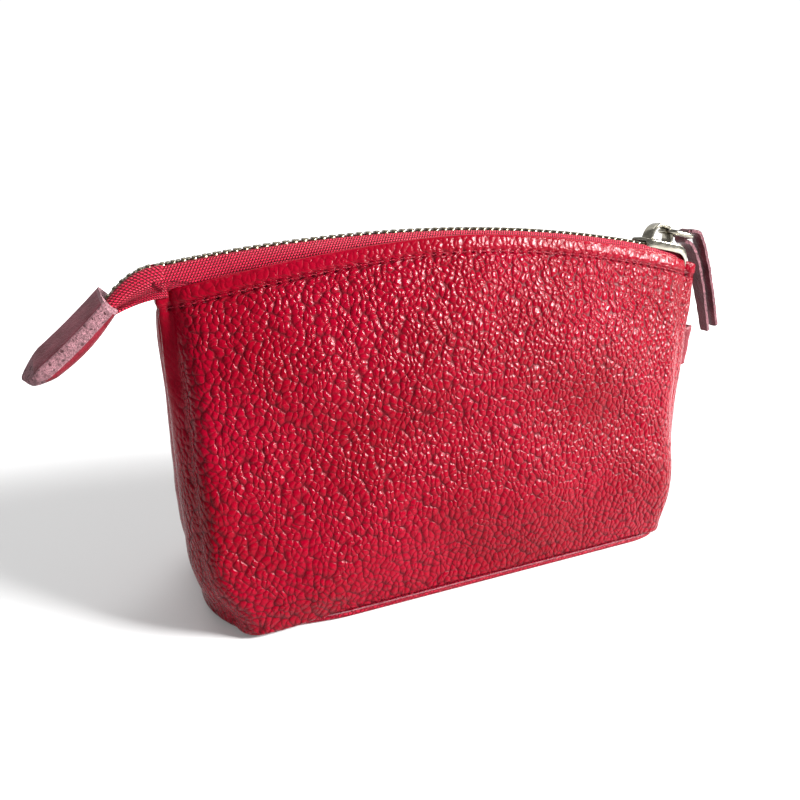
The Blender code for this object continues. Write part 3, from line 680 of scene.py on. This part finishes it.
def skin_lengths(grid):
    """Each point's distance along the piece from X = 0 and up it from its hem, in millimetres."""
    along = lengths(grid)
    middle = np.argmin(np.abs(grid[..., 0]), axis=1)
    along -= along[np.arange(len(grid)), middle][:, None]
    up = lengths(grid, 0)
    return np.stack([along, up, 0 * up], axis=2)


def stitch_marks(grid):
    """The sewn line under the top edge: a shallow channel, pricked by a hole at every stitch; the holes'
    mask also carries their painted shade.
    """
    below = edge_z(grid[..., 0]) - grid[..., 2]
    along = run_length(grid[-1])[None, :] + 0.0 * below
    phase = np.abs((along / STITCH_PITCH) % 1.0 - 0.5) * 2.0
    row = np.exp(-(((below - STITCH_DROP) / 0.55) ** 2))
    hole_shade = row * smoothstep((0.42 - (1.0 - phase)) / 0.3)
    channel = -0.22 * np.exp(-(((below - STITCH_DROP) / 0.9) ** 2))
    pucker = 0.2 * np.exp(-(((below - STITCH_DROP) / 1.6) ** 2)) * (1.0 - phase)
    fold = 0.28 * smoothstep((STITCH_DROP - 0.5 - below) / 1.2)
    return hole_shade, channel - 0.5 * hole_shade + pucker + fold


def turned_edge(top, out, near):
    """Rolls the top edge over and down inside the pouch, closer to the wall near the side seams."""
    out = out * np.array((1.0, 1.0, 0.0))
    out /= np.linalg.norm(out, axis=1)[:, None]
    inward = 0.15 + 0.85 * smoothstep((near - 5.0) / 12.0)
    rows = []
    for turn in np.radians((25, 55, 90, 125, 155, 180)):
        rise = np.array((0, 0, LIP_RADIUS)) * sin(turn)
        rows.append(top - out * LIP_RADIUS * (1 - cos(turn)) + rise)
    for drop in (1.5, 4.0, 8.0, 12.0):
        grow = np.interp(drop, (0, 12), (0, 2.2)) * inward
        rows.append(top - out * (2 * LIP_RADIUS) + out * grow - np.array((0, 0, drop)))
    return np.stack(rows)


def make_panel(word, side):
    """A leather panel: its swollen face with the stitch holes, and its turned top edge."""
    base = panel_surface(side)
    hole_shade, marks = stitch_marks(base)
    out = normals(base)
    out *= np.sign((out * np.array((0.0, -1.0, 0.0))).sum(axis=2).mean())
    shift = swelling(base, side) + marks + seam_roll(base)
    face = base + out * shift[..., None]
    below = edge_z(base[..., 0]) - base[..., 2]
    flat = np.maximum(0.62 * smoothstep((STITCH_DROP + 1.0 - below) / 1.5), side_calm(base))
    near = from_seams(base)
    # Painted shade: the stitch holes, and a thin line in the groove along each side seam, are painted
    # near-black.
    hole_shade = np.maximum(0.8 * hole_shade, 0.85 * smoothstep((0.9 - near) / 0.6))
    lip = turned_edge(face[-1], out[-1], near[-1][:, None])
    grid = np.concatenate([face, lip])
    flat = np.concatenate([flat, np.ones(lip.shape[:2])])
    hole_shade = np.concatenate([hole_shade, np.zeros(lip.shape[:2])])
    rows, cols, _ = grid.shape
    obj = new_object(
        word + "_leather", mirrored(grid, side).reshape(-1, 3),
        grid_faces(rows, cols, flip=side < 0), [LEATHER],
        attributes={"flat": flat.ravel(), "hole_shade": hole_shade.ravel(), "skin": skin_lengths(grid).reshape(-1, 3)},
    )
    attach(obj, "body")
    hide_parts(word + "_panel")
    make_stitches(word, side, face, out)


def make_stitches(word, side, face, out):
    """One short thread between each pair of holes, sunk a little into the channel."""
    along = run_length(face[-1])
    below = edge_z(face[..., 0]) - face[..., 2]
    row = np.argmin(np.abs(below - STITCH_DROP), axis=0)
    columns = np.arange(face.shape[1])
    line, normal = face[row, columns], out[row, columns]
    bm = bmesh.new()
    count = int(along[-1] / STITCH_PITCH)
    for k in range(count):
        span = (k + np.array((0.12, 0.3, 0.5, 0.7, 0.88))) * STITCH_PITCH
        centre = np.stack([np.interp(span, along, line[:, a]) for a in range(3)], axis=1)
        away = np.stack([np.interp(span, along, normal[:, a]) for a in range(3)], axis=1)
        if abs(centre[2, 0]) > 84 or centre[2, 1] > -2.0:
            continue
        lift = np.array((-0.30, 0.0, 0.12, 0.0, -0.30))
        centre = centre + away * lift[:, None]
        capsule(bm, centre * np.array((1, side, 1)), STITCH_RADIUS)
    obj = object_from_bmesh(bm, word + "_stitching", THREAD)
    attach(obj, "body")
    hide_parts(word + "_topstitch")


def capsule(bm, path, radius, sides=6):
    """A thin rod along a path, tapering to its two ends."""
    rings = []
    for k, p in enumerate(path):
        before, after = path[max(k - 1, 0)], path[min(k + 1, len(path) - 1)]
        along = Vector(after - before).normalized()
        across = along.cross(Vector((0, 0, 1))).normalized()
        up = across.cross(along)
        small = radius * (0.45 if k in (0, len(path) - 1) else 1.0)
        turns = [2 * pi * s / sides for s in range(sides)]
        rings.append([Vector(p) + (across * cos(t) + up * sin(t)) * small for t in turns])
    skin_rings(bm, rings)


def base_outline(move):
    """The bottom panel's outline, moved inwards by this much and hidden round the ends."""
    half = plan_curve(0.0, 12, 8, 60)
    half = inset(half, move + 2.3 * end_share(half[:, 0]))
    return np.concatenate([half, half[::-1] * np.array((1.0, -1.0))])


def make_base():
    """The bottom panel, with a rounded rim that shows as a strip under the walls."""
    profile = (
        (3.0, 0.0), (0.7, 0.02), (0.1, 0.25), (-0.25, 0.7),
        (-0.15, 1.15), (0.25, 1.5), (1.3, 1.62), (2.4, 1.64),
    )
    rings = []
    for move, z in profile:
        ring = base_outline(move)
        rings.append(np.concatenate([ring, np.full((len(ring), 1), z)], axis=1))
    faces = ring_faces(len(rings), len(rings[0]))
    obj = new_object("bottom_leather", np.concatenate(rings), faces, [BASE_LEATHER])
    sharpen(obj, 60)
    recalculate(obj)
    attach(obj, "body")
    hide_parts("base_panel")
    # A thin welt along the bottom seam, coloured pale as a painted highlight on the rim.
    path = [(x, y, WELT_Z) for x, y in base_outline(0.12)[::2]]
    line = tube("bottom_welt_highlight", path, WELT_RADIUS, WELT_HIGHLIGHT, sides=6, cyclic=True)
    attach(line, "body")


# ---- the zip


def top_outline_y(x, depth):
    """Where the panel's top edge lies at x, moved inwards by depth."""
    plan = inset(plan_curve(1.0), depth)
    return np.interp(x, plan[:, 0], plan[:, 1])


def tape_grid(xs, shares):
    """Front tape between the teeth (share 0) and the leather edge (share 1), as points."""
    start_y, start_z = -3.1 + 0 * xs, crest_z(xs) - 1.05
    end_y = np.minimum(top_outline_y(xs, 1.95), start_y - 0.5)
    end_z = edge_z(xs) - 0.4
    lift = smoothstep((-71.0 - xs) / 11.0)
    end_y = lerp(end_y, start_y - 1.3, lift)
    end_z = lerp(end_z, crest_z(xs) - 4.6, lift)
    wave = 0.16 * undulate(xs, 0 * xs, 15.0, 2.0) * (1 - lift)
    rows = []
    for s in shares:
        bulge = (0.62 + wave) * sin(pi * min(s, 1.0)) * (1 - 0.5 * lift)
        y, z = lerp(start_y, end_y, s), lerp(start_z, end_z, s)
        slope = np.hypot(end_y - start_y, end_z - start_z)
        y, z = y + bulge * (end_z - start_z) / slope, z - bulge * (end_y - start_y) / slope
        rows.append(np.stack([xs, y, z], axis=1))
    return np.stack(rows)


def weave_lengths(grid):
    """Lengths along and across a strip, in millimetres, for its woven pattern."""
    along, across = lengths(grid), lengths(grid, 0)
    start = grid[:, :1, 0]
    places = np.stack([along.mean(axis=0, keepdims=True) + start, across, 0 * across], axis=2)
    return {"weave": places.reshape(-1, 3)}


def make_tape(word, side):
    """The exposed tape in two pieces, left and right of the zip's middle, and a hem behind the leather
    edge.
    """
    shares = np.linspace(0.0, 1.0, 12)
    for place, first, last, replaced in (
        ("left", ZIP_LEFT - 1.0, 0.3, word + "_tape_flap"), ("right", 0.0, ZIP_RIGHT - 1.0, word + "_tape"),
    ):
        xs = np.arange(first, last + 0.5, 0.9)
        grid = tape_grid(xs, shares)
        piece = shell(f"{word}_tape_{place}", mirrored(grid, side), TAPE_THICK, [TAPE], weave_lengths(grid))
        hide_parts(replaced)
        bend(piece)
    xs = np.arange(ZIP_LEFT - 1.5, ZIP_RIGHT - 1.5, 1.5)
    edge = tape_grid(xs, [0.97])[0]
    left = smoothstep((-70.0 - xs) / 12.0)
    hem = [edge]
    for outward, drop in ((0.5, 2.5), (0.9, 6.0)):
        row = edge + np.array((0.0, -outward, -drop))
        row[:, 0] = np.maximum(row[:, 0], LEFT_SEAM_X + 2.2)
        row[:, 1] = lerp(row[:, 1], -0.75 - 0.1 * drop, left)
        row[:, 2] -= 2.0 * left
        hem.append(row)
    hem = np.stack(hem)
    piece = shell(f"{word}_tape_hem", mirrored(hem, side), 0.45, [TAPE], weave_lengths(hem))
    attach(piece, "body")


def bend(piece):
    """Bakes the piece's placement into its points; it does not bend the piece."""
    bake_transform(piece)


def arc_place(x):
    """A place on the zip's crest: its point, the way along it and the way up from it."""
    turn = asin(x / CREST_RADIUS)
    along = Vector((cos(turn), 0.0, -sin(turn)))
    up = Vector((sin(turn), 0.0, cos(turn)))
    return Vector((x, 0.0, float(crest_z(x)))), along, up


def add_tooth(bm, point, along, up, side):
    """One tooth: a clamp over the tape's edge, with a narrower head that reaches past the middle."""
    across = Vector((0.0, -float(side), 0.0))
    point = point - up * (0.0 if side > 0 else BACK_ROW_DROP)
    sections = (
        (-0.6, 0.34, -1.0, -0.35), (-0.3, 0.46, -1.2, -0.15), (0.9, 0.56, -1.3, 0.05),
        (1.6, 0.60, -1.5, 0.05), (2.7, 0.60, -1.5, -0.05), (3.05, 0.46, -1.3, -0.35),
    )
    rings = []
    for reach, half, low, high in sections:
        middle = point + across * reach
        trim = half - 0.16
        corners = (
            (-trim, low), (trim, low), (half, low + 0.16), (half, high - 0.16),
            (trim, high), (-trim, high), (-half, high - 0.16), (-half, low + 0.16),
        )
        rings.append([middle + along * a + up * b for a, b in corners])
    skin_rings(bm, rings)


def tooth_row(bm, name, *replaced):
    piece = object_from_bmesh(bm, name, TEETH)
    sharpen(piece, 50)
    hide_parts(*replaced)
    return piece


def make_teeth(word, side):
    """The rows of teeth and the cords they clamp, each in two halves."""
    phase = 0.0 if side > 0 else 0.5
    nodes = {"left": ("_teeth", "_teeth_open_end"), "right": ("_teeth_closed_end",)}
    for place in ("left", "right"):
        bm = bmesh.new()
        for k in range(40):
            x = (k + 0.5 + phase) * TOOTH_PITCH * (-1 if place == "left" else 1)
            x += 0.0 if place == "right" else TOOTH_PITCH * 2 * phase
            if ZIP_LEFT - 0.4 < x < ZIP_RIGHT - 1.0:
                add_tooth(bm, *arc_place(x), side)
        names = [word + ending for ending in nodes[place]]
        bend(tooth_row(bm, f"{word}_tooth_row_{place}", *names))
    for place, first, last in (("left", ZIP_LEFT, 0.1), ("right", 0.0, ZIP_RIGHT - 2.0)):
        cord = [(x, -2.9 * side, float(crest_z(x)) - 1.2) for x in np.arange(first, last, 4.0)]
        rope = tube(f"{word}_edge_cord_{place}", cord, CORD_RADIUS, TAPE, sides=8)
        bend(rope)


def tail_path(count=26):
    """The tail's crest: out from the body's corner, over and down to the tab."""
    first, _, _ = arc_place(ZIP_LEFT + 1.6)
    along_tab = (TAB_END - TAB_TOP).normalized()
    bend_at = first + Vector((-8.8, 0.0, -0.4))
    last = TAB_TOP + along_tab * 3.2 + Vector((0.5, 0, 0.6))
    places = []
    for t in np.linspace(0, 1, count):
        point = first * (1 - t) ** 2 + bend_at * 2 * t * (1 - t) + last * t * t
        along = ((bend_at - first) * (1 - t) + (last - bend_at) * t).normalized()
        places.append((point, along, Vector((along.z, 0, -along.x)), t))
    return places, along_tab


def bend_tail(piece):
    """Bakes the piece's placement into its points; it does not bend the piece."""
    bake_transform(piece)


def make_tail():
    """The free end of the zip: teeth on top, both tapes hanging and curling in under them."""
    places, _ = tail_path()
    for word, side in (("front", 1), ("back", -1)):
        rows = []
        for s in np.linspace(0, 1, 16):
            row = []
            for point, along, up, t in places:
                hang = smoothstep(s * 1.25)
                across = 2.75 + 1.4 * s + 0.9 * sin(pi * s)
                across -= (1.0 + 2.2 * t) * exp(-(((s - 0.78) / 0.14) ** 2)) + 1.2 * max(0.0, s - 0.6)
                drop = 0.8 + lerp(7.2, 2.0, t**2.4) * hang * s + 0.4 * s
                p = point - up * drop
                row.append((p.x, -across, p.z))
            rows.append(row)
        grid = np.array(rows)
        piece = shell(f"{word}_tail_cloth", mirrored(grid, side), TAPE_THICK, [TAPE], weave_lengths(grid))
        bend_tail(piece)
        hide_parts(f"{word}_tail_tape")
        bm = bmesh.new()
        run = run_length(np.array([place[0] for place in places]))
        for k in range(8):
            at = (k + 1.2 + (0.0 if side > 0 else 0.5)) * TOOTH_PITCH
            if at > run[-1] - 3.4:
                break
            i = int(np.searchsorted(run, at))
            point, along, up, _ = places[min(i, len(places) - 1)]
            add_tooth(bm, point, along, up, side)
        bend_tail(tooth_row(bm, f"{word}_tail_row", f"{word}_tail_teeth"))


# ---- the slider and its pull


def slider_matrix():
    """Turns the slider's own millimetres (along, across, up) into its place on the zip's arc."""
    point, along, up = arc_place(SLIDER_X)
    across = up.cross(along)
    matrix = Matrix((along, across, up)).transposed().to_4x4()
    matrix.translation = point
    return matrix


def lofted(name, rings, look, matrix, bevel):
    """A closed skin over rings of local points, placed and rounded."""
    bm = bmesh.new()
    skin_rings(bm, [[matrix @ Vector(p) for p in ring] for ring in rings])
    obj = object_from_bmesh(bm, name, look)
    round_edges(obj, bevel)
    return obj


def slider_plate_rings():
    """Cross-sections of the top plate along the slider: a channel whose flanges wrap the teeth."""
    rings = []
    for x in np.linspace(-9.0, 11.5, 24):
        wide = lerp(4.5, 5.7, float(smoothstep((x + 9) / 11))) - 3.0 * max(0.0, (x - 6.5) / 5.0) ** 2
        wide -= 0.7 * max(0.0, (-7.0 - x) / 2.0) ** 2
        droop = -0.14 * max(0.0, x - 3.5) ** 2
        tail = -0.25 * max(0.0, (-6.5 - x) / 2.5) ** 2
        high, low, skirt = 1.5 + droop + tail, 0.45 + droop, -1.5 + droop * 0.9
        rings.append([
            (x, -wide + 0.5, high), (x, 0.0, high + 0.25), (x, wide - 0.5, high), (x, wide, high - 0.5),
            (x, wide, skirt), (x, wide - WALL, skirt), (x, wide - WALL, low),
            (x, -wide + WALL, low), (x, -wide + WALL, skirt), (x, -wide, skirt), (x, -wide, high - 0.5),
        ])
    return rings


def arch_rings(half, height, thick, width, base, shift):
    """Cross-sections of the bridge, from one foot over to the other."""
    rings = []
    for turn in np.linspace(0, pi, 25):
        c, s = cos(turn), sin(turn)
        outer = (shift + half * c, base + height * s**0.75)
        inner = (shift + (half - thick) * c, base + (height - thick) * s**0.75)
        w = width / 2 * (1.0 + 0.18 * (1 - s))
        rings.append([(x, y, z) for (x, z), y in ((outer, -w), (outer, w), (inner, w), (inner, -w))])
    return rings


def make_slider():
    place = slider_matrix()
    plate = lofted("slider_channel", slider_plate_rings(), NICKEL, place, 0.22)
    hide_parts("slider_top_plate")
    bridge = lofted("slider_crown", arch_rings(5.0, 6.0, 1.25, 3.8, 1.3, -1.6), NICKEL, place, 0.4)
    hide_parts("slider_bridge")
    under = []
    for x in np.linspace(-8.8, 8.6, 12):
        wide = lerp(2.1, 2.7, float(smoothstep((x + 9) / 10))) - 1.1 * max(0.0, (x - 6.0) / 2.6) ** 2
        under.append([(x, -wide, -2.35), (x, wide, -2.35), (x, wide, -3.3), (x, -wide, -3.3)])
    bottom = lofted("slider_underplate", under, NICKEL, place, 0.25)
    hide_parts("slider_bottom_plate", "slider_post")
    for piece in (plate, bridge, bottom):
        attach(piece, "slider")


def make_link():
    """A flattened wire link, wider where it holds the strap."""
    along = (LINK_TIP - LINK_PIVOT).normalized()
    length = (LINK_TIP - LINK_PIVOT).length
    points = []
    for turn in np.linspace(0, 2 * pi, 48, endpoint=False):
        c, s = cos(turn), sin(turn)
        u = length / 2 + (length / 2) * copysign(abs(c) ** LINK_SQUARE, c)
        v = LINK_HALF_WIDTH * copysign(abs(s) ** LINK_SQUARE, s) * lerp(0.82, 1.0, u / length)
        p = LINK_PIVOT + along * u
        points.append((p.x, v, p.z))
    link = tube("pull_ring", points, WIRE_RADIUS, NICKEL, sides=12, cyclic=True)
    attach(link, "link")
    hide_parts("pull_link")


def smooth_path(points, per_span):
    """A smooth curve through the points."""
    held = [points[0]] + list(points) + [points[-1]]
    path = []
    for a, b, c, d in zip(held, held[1:], held[2:], held[3:]):
        for i in range(per_span):
            t = i / per_span
            square, cube = 2 * a - 5 * b + 4 * c - d, 3 * b - a - 3 * c + d
            path.append(0.5 * (2 * b + (c - a) * t + square * t * t + cube * t**3))
    path.append(points[-1])
    return path


def strap_route():
    """The strip's middle line: up its inner layer, round the link's bar and down its outer layer."""
    bar = Vector((LINK_TIP.x, LINK_TIP.z))
    loop = []
    for i in range(9):
        turn = radians(lerp(-75, -285, i / 8))
        loop.append(bar + Vector((cos(turn), sin(turn))) * STRAP_TURN)
    inner = [(104.2, 64.6), (101.0, 73.0), (97.6, 81.5), (94.4, 88.8), (90.4, 95.0)]
    outer = [
        (90.8, 99.5), (93.3, 96.2), (96.0, 91.4), (98.5, 86.5),
        (101.0, 81.0), (103.3, 76.0), (105.4, 71.3), (108.0, 66.2),
    ]
    return smooth_path([Vector(p) for p in inner] + loop + [Vector(p) for p in outer], 6)


def make_strap():
    """The leather strip, doubled through the link: smooth faces and raw cut edges."""
    path = strap_route()
    count = len(path)
    verts = []
    across = (-1, -0.5, 0, 0.5, 1)
    section = [(a, -1) for a in across] + [(1, 0)] + [(-a, 1) for a in across] + [(-1, 0)]
    for k, p in enumerate(path):
        before, after = path[max(k - 1, 0)], path[min(k + 1, count - 1)]
        along = (after - before).normalized()
        normal = Vector((-along.y, along.x))
        end = min(k, count - 1 - k) / 10
        wide = STRAP_HALF_WIDTH * min(1.0, 0.72 + 0.28 * end) * (1 + 0.03 * sin(k * 0.7))
        skew = 0.5 * sin(k / count * pi * 2.2)
        for a, b in section:
            cup = 0.22 * (a * a)
            edge = 0.16 * sin(k * 1.9 + a * 3 + b) if abs(a) == 1 else 0.0
            q = p + normal * (b * STRAP_HALF_THICK * (0.8 if abs(a) == 1 else 1.0) + cup)
            verts.append((q.x, a * (wide + edge * 0.6) + skew, q.y))
    cut = [1 if one[0] == two[0] else 0 for one, two in zip(section, section[1:] + section[:1])]
    slots = cut * (count - 1) + [1, 1]
    faces = ring_faces(count, len(section))
    # Painted shade and sheen: the strip's faces take the dim mauve colour.
    obj = new_object("strap_leather", verts, faces, [STRAP_SHADE_AND_SHEEN, STRAP_EDGE], slots=slots)
    recalculate(obj)
    sharpen(obj, 60)
    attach(obj, "strap")
    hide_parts("pull_strap")
    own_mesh(obj)


# ---- the end tab and the side loop


def tab_outline(u, length):
    """Half width of the tab at a length u from its cut end: straight, then rounded off."""
    if u < length - TAB_TIP:
        return TAB_HALF_WIDTH + 0.35 * sin(u / length * 3.0)
    share = (u - (length - TAB_TIP)) / TAB_TIP
    return (TAB_HALF_WIDTH + 0.1) * sqrt(max(0.0, 1.0 - share**2.2))


def tab_look(u, one, two, length):
    """Which of the tab's looks a face has: 0 its top, 1 the raw edge, 2 the cut end, 3 its belly."""
    height, reach = (one[1] + two[1]) / 2, (abs(one[0]) + abs(two[0])) / 2
    if u == 0:
        return 2
    if u > length - 4.6:
        return 1
    if height > 2.0 and reach < 0.95:
        return 0
    return 3 if height < -0.9 else 1


def make_tab():
    """Two layers of hide round the tape's end: a top face painted dim mauve for its shade and sheen, a wide
    raw edge, a red belly.
    """
    along = (TAB_END - TAB_TOP).normalized()
    length = (TAB_END - TAB_TOP).length + 1.2
    up = Vector((along.z, 0, -along.x))
    roll = Matrix.Rotation(TAB_ROLL, 4, along)
    up = (roll @ up).normalized()
    across = up.cross(along).normalized()
    profile = (
        (0.0, 2.35), (0.5, 2.33), (0.8, 2.28), (0.93, 2.15), (1.0, 1.9), (1.03, 1.0), (1.04, 0.0),
        (1.02, -1.0), (0.99, -1.6), (0.93, -2.2), (0.80, -2.9), (0.6, -3.4), (0.3, -3.7), (0.0, -3.75),
    )
    section = list(profile) + [(-a, b) for a, b in profile[-2:0:-1]]
    rounded = 6.4
    stations = list(np.linspace(0, length - rounded, 26))
    stations += [length - rounded * cos(t) for t in np.linspace(0.12, pi / 2 - 0.02, 12)]
    verts = []
    for u in stations:
        half = tab_outline(min(u, length - 0.02), length)
        near_end = float(smoothstep((length - u) / 7.0))
        slim = lerp(0.55, 1.0, near_end)
        belly = sin(pi * min(1.0, max(0.0, (u + 1.0) / (length + 1.0)))) ** 0.8
        bow = 0.5 * sin(pi * u / length)
        for a, b in section:
            thick = b * slim if b > -1.0 else -1.0 * slim + (b + 1.0) * slim * (0.35 + 0.65 * belly)
            wobble = 0.12 * sin(u * 1.9 + b * 2.0) if abs(a) > 0.95 else 0.0
            p = TAB_TOP + along * (u - 0.6) + across * (a * half + wobble) + up * (thick - 0.3 - bow)
            verts.append(tuple(p))
    pairs = list(zip(section, section[1:] + section[:1]))
    slots = [tab_look(u, one, two, length) for u in stations[:-1] for one, two in pairs] + [2, 1]
    faces = ring_faces(len(stations), len(section))
    obj = new_object("tab_leather", verts, faces, [TAB_TOP_SHADE_AND_SHEEN, RAW, PALE_LIT_RAW, RED_FACE], slots=slots)
    recalculate(obj)
    sharpen(obj, 55)
    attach(obj, "tail")
    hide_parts("end_tab", "bottom_stop")


def make_loop():
    """The folded loop in the side seam: one strip, bent round, open at its top and bottom."""
    low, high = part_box("side_loop")
    low, high = low / MM, high / MM
    depth, half = high.x - low.x + 0.6, 1.75
    path = [(low.x - 1.2, half)]
    for turn in np.linspace(90, -90, 13):
        t = radians(turn)
        path.append((low.x + depth - half + half * cos(t), half * sin(t)))
    path.append((low.x - 1.2, -half))
    rows = []
    for z in np.linspace(low.z - 0.3, high.z + 0.6, 12):
        lean = 0.045 * (z - low.z)
        sway = 0.15 * sin(z * 0.9)
        rows.append([(x + lean * (x > low.x) + sway, y, z + 0.12 * (x - low.x)) for x, y in path])
    piece = shell("seam_loop", np.array(rows), 1.15, [LOOP])
    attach(piece, "body")
    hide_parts("side_loop")


# ---- stage


def make_camera():
    """A phone's view from the left front, at 68 degrees across."""
    yaw, pitch, roll = (radians(turn) for turn in CAMERA_TURNS)
    turn = Matrix.Rotation(yaw, 4, "Z") @ Matrix.Rotation(pi / 2 - pitch, 4, "X")
    data = bpy.data.cameras.new("camera")
    data.lens, data.sensor_width, data.clip_start = LENS, SENSOR_WIDTH, 0.005
    camera = add_object("camera", data)
    camera.matrix_world = Matrix.Translation(Vector(CAMERA_AT) * MM) @ turn @ Matrix.Rotation(roll, 4, "Z")
    bpy.context.scene.camera = camera


def area_light(name, place, size, power):
    """A soft light that faces the middle of the pouch."""
    data = bpy.data.lights.new(name, "AREA")
    data.shape, data.size, data.size_y = "RECTANGLE", size[0], size[1]
    data.energy = power
    light = add_object(name, data)
    light.location = place
    light.rotation_euler = (Vector((0.0, 0.0, 0.05)) - Vector(place)).to_track_quat("-Z", "Y").to_euler()


def studio_world():
    """Soft light: bright low behind the pouch, dim in front of it and on its left."""
    n = Nodes("world", world=True)
    place = n.add("SeparateXYZ", {0: n.add("TexCoord").outputs["Generated"]})
    behind = n.remap(place.outputs["Y"], 0.15, 0.6, smooth=True)
    right = n.remap(place.outputs["X"], -0.5, -0.3, smooth=True)
    n.set(Strength=n.remap(n.times(behind, right), 0.0, 1.0, 0.34, 1.05), Color=(1.0, 1.0, 1.0, 1.0))
    bpy.context.scene.world = n.made


def make_stage():
    corners = np.array(((-1, -1, 0), (1, -1, 0), (1, 1, 0), (-1, 1, 0))) * FLOOR_HALF
    floor = new_object("floor", corners, [(0, 1, 2, 3)], [glowing_floor("glowing_floor")])
    floor.location = (0, 0, -FLOOR_GAP * MM)
    area_light("window", (0.86, -0.58, 0.60), (0.34, 0.34), 55.0)
    area_light("overhead", (0.0, 0.35, 1.1), (0.9, 0.6), 5.5)
    studio_world()
    bpy.context.scene.view_settings.view_transform = "Standard"
    bpy.context.scene.view_settings.look = "None"


def main():
    for word, side in (("front", 1), ("back", -1)):
        make_panel(word, side)
        make_tape(word, side)
        make_teeth(word, side)
        for ending, look in (("_lining", LINING), ("_top_stop", NICKEL)):
            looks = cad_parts[word + ending].data.materials
            looks.clear()
            looks.append(look)
    make_base()
    make_tail()
    make_slider()
    make_link()
    make_strap()
    make_tab()
    make_loop()
    make_camera()
    make_stage()


main()
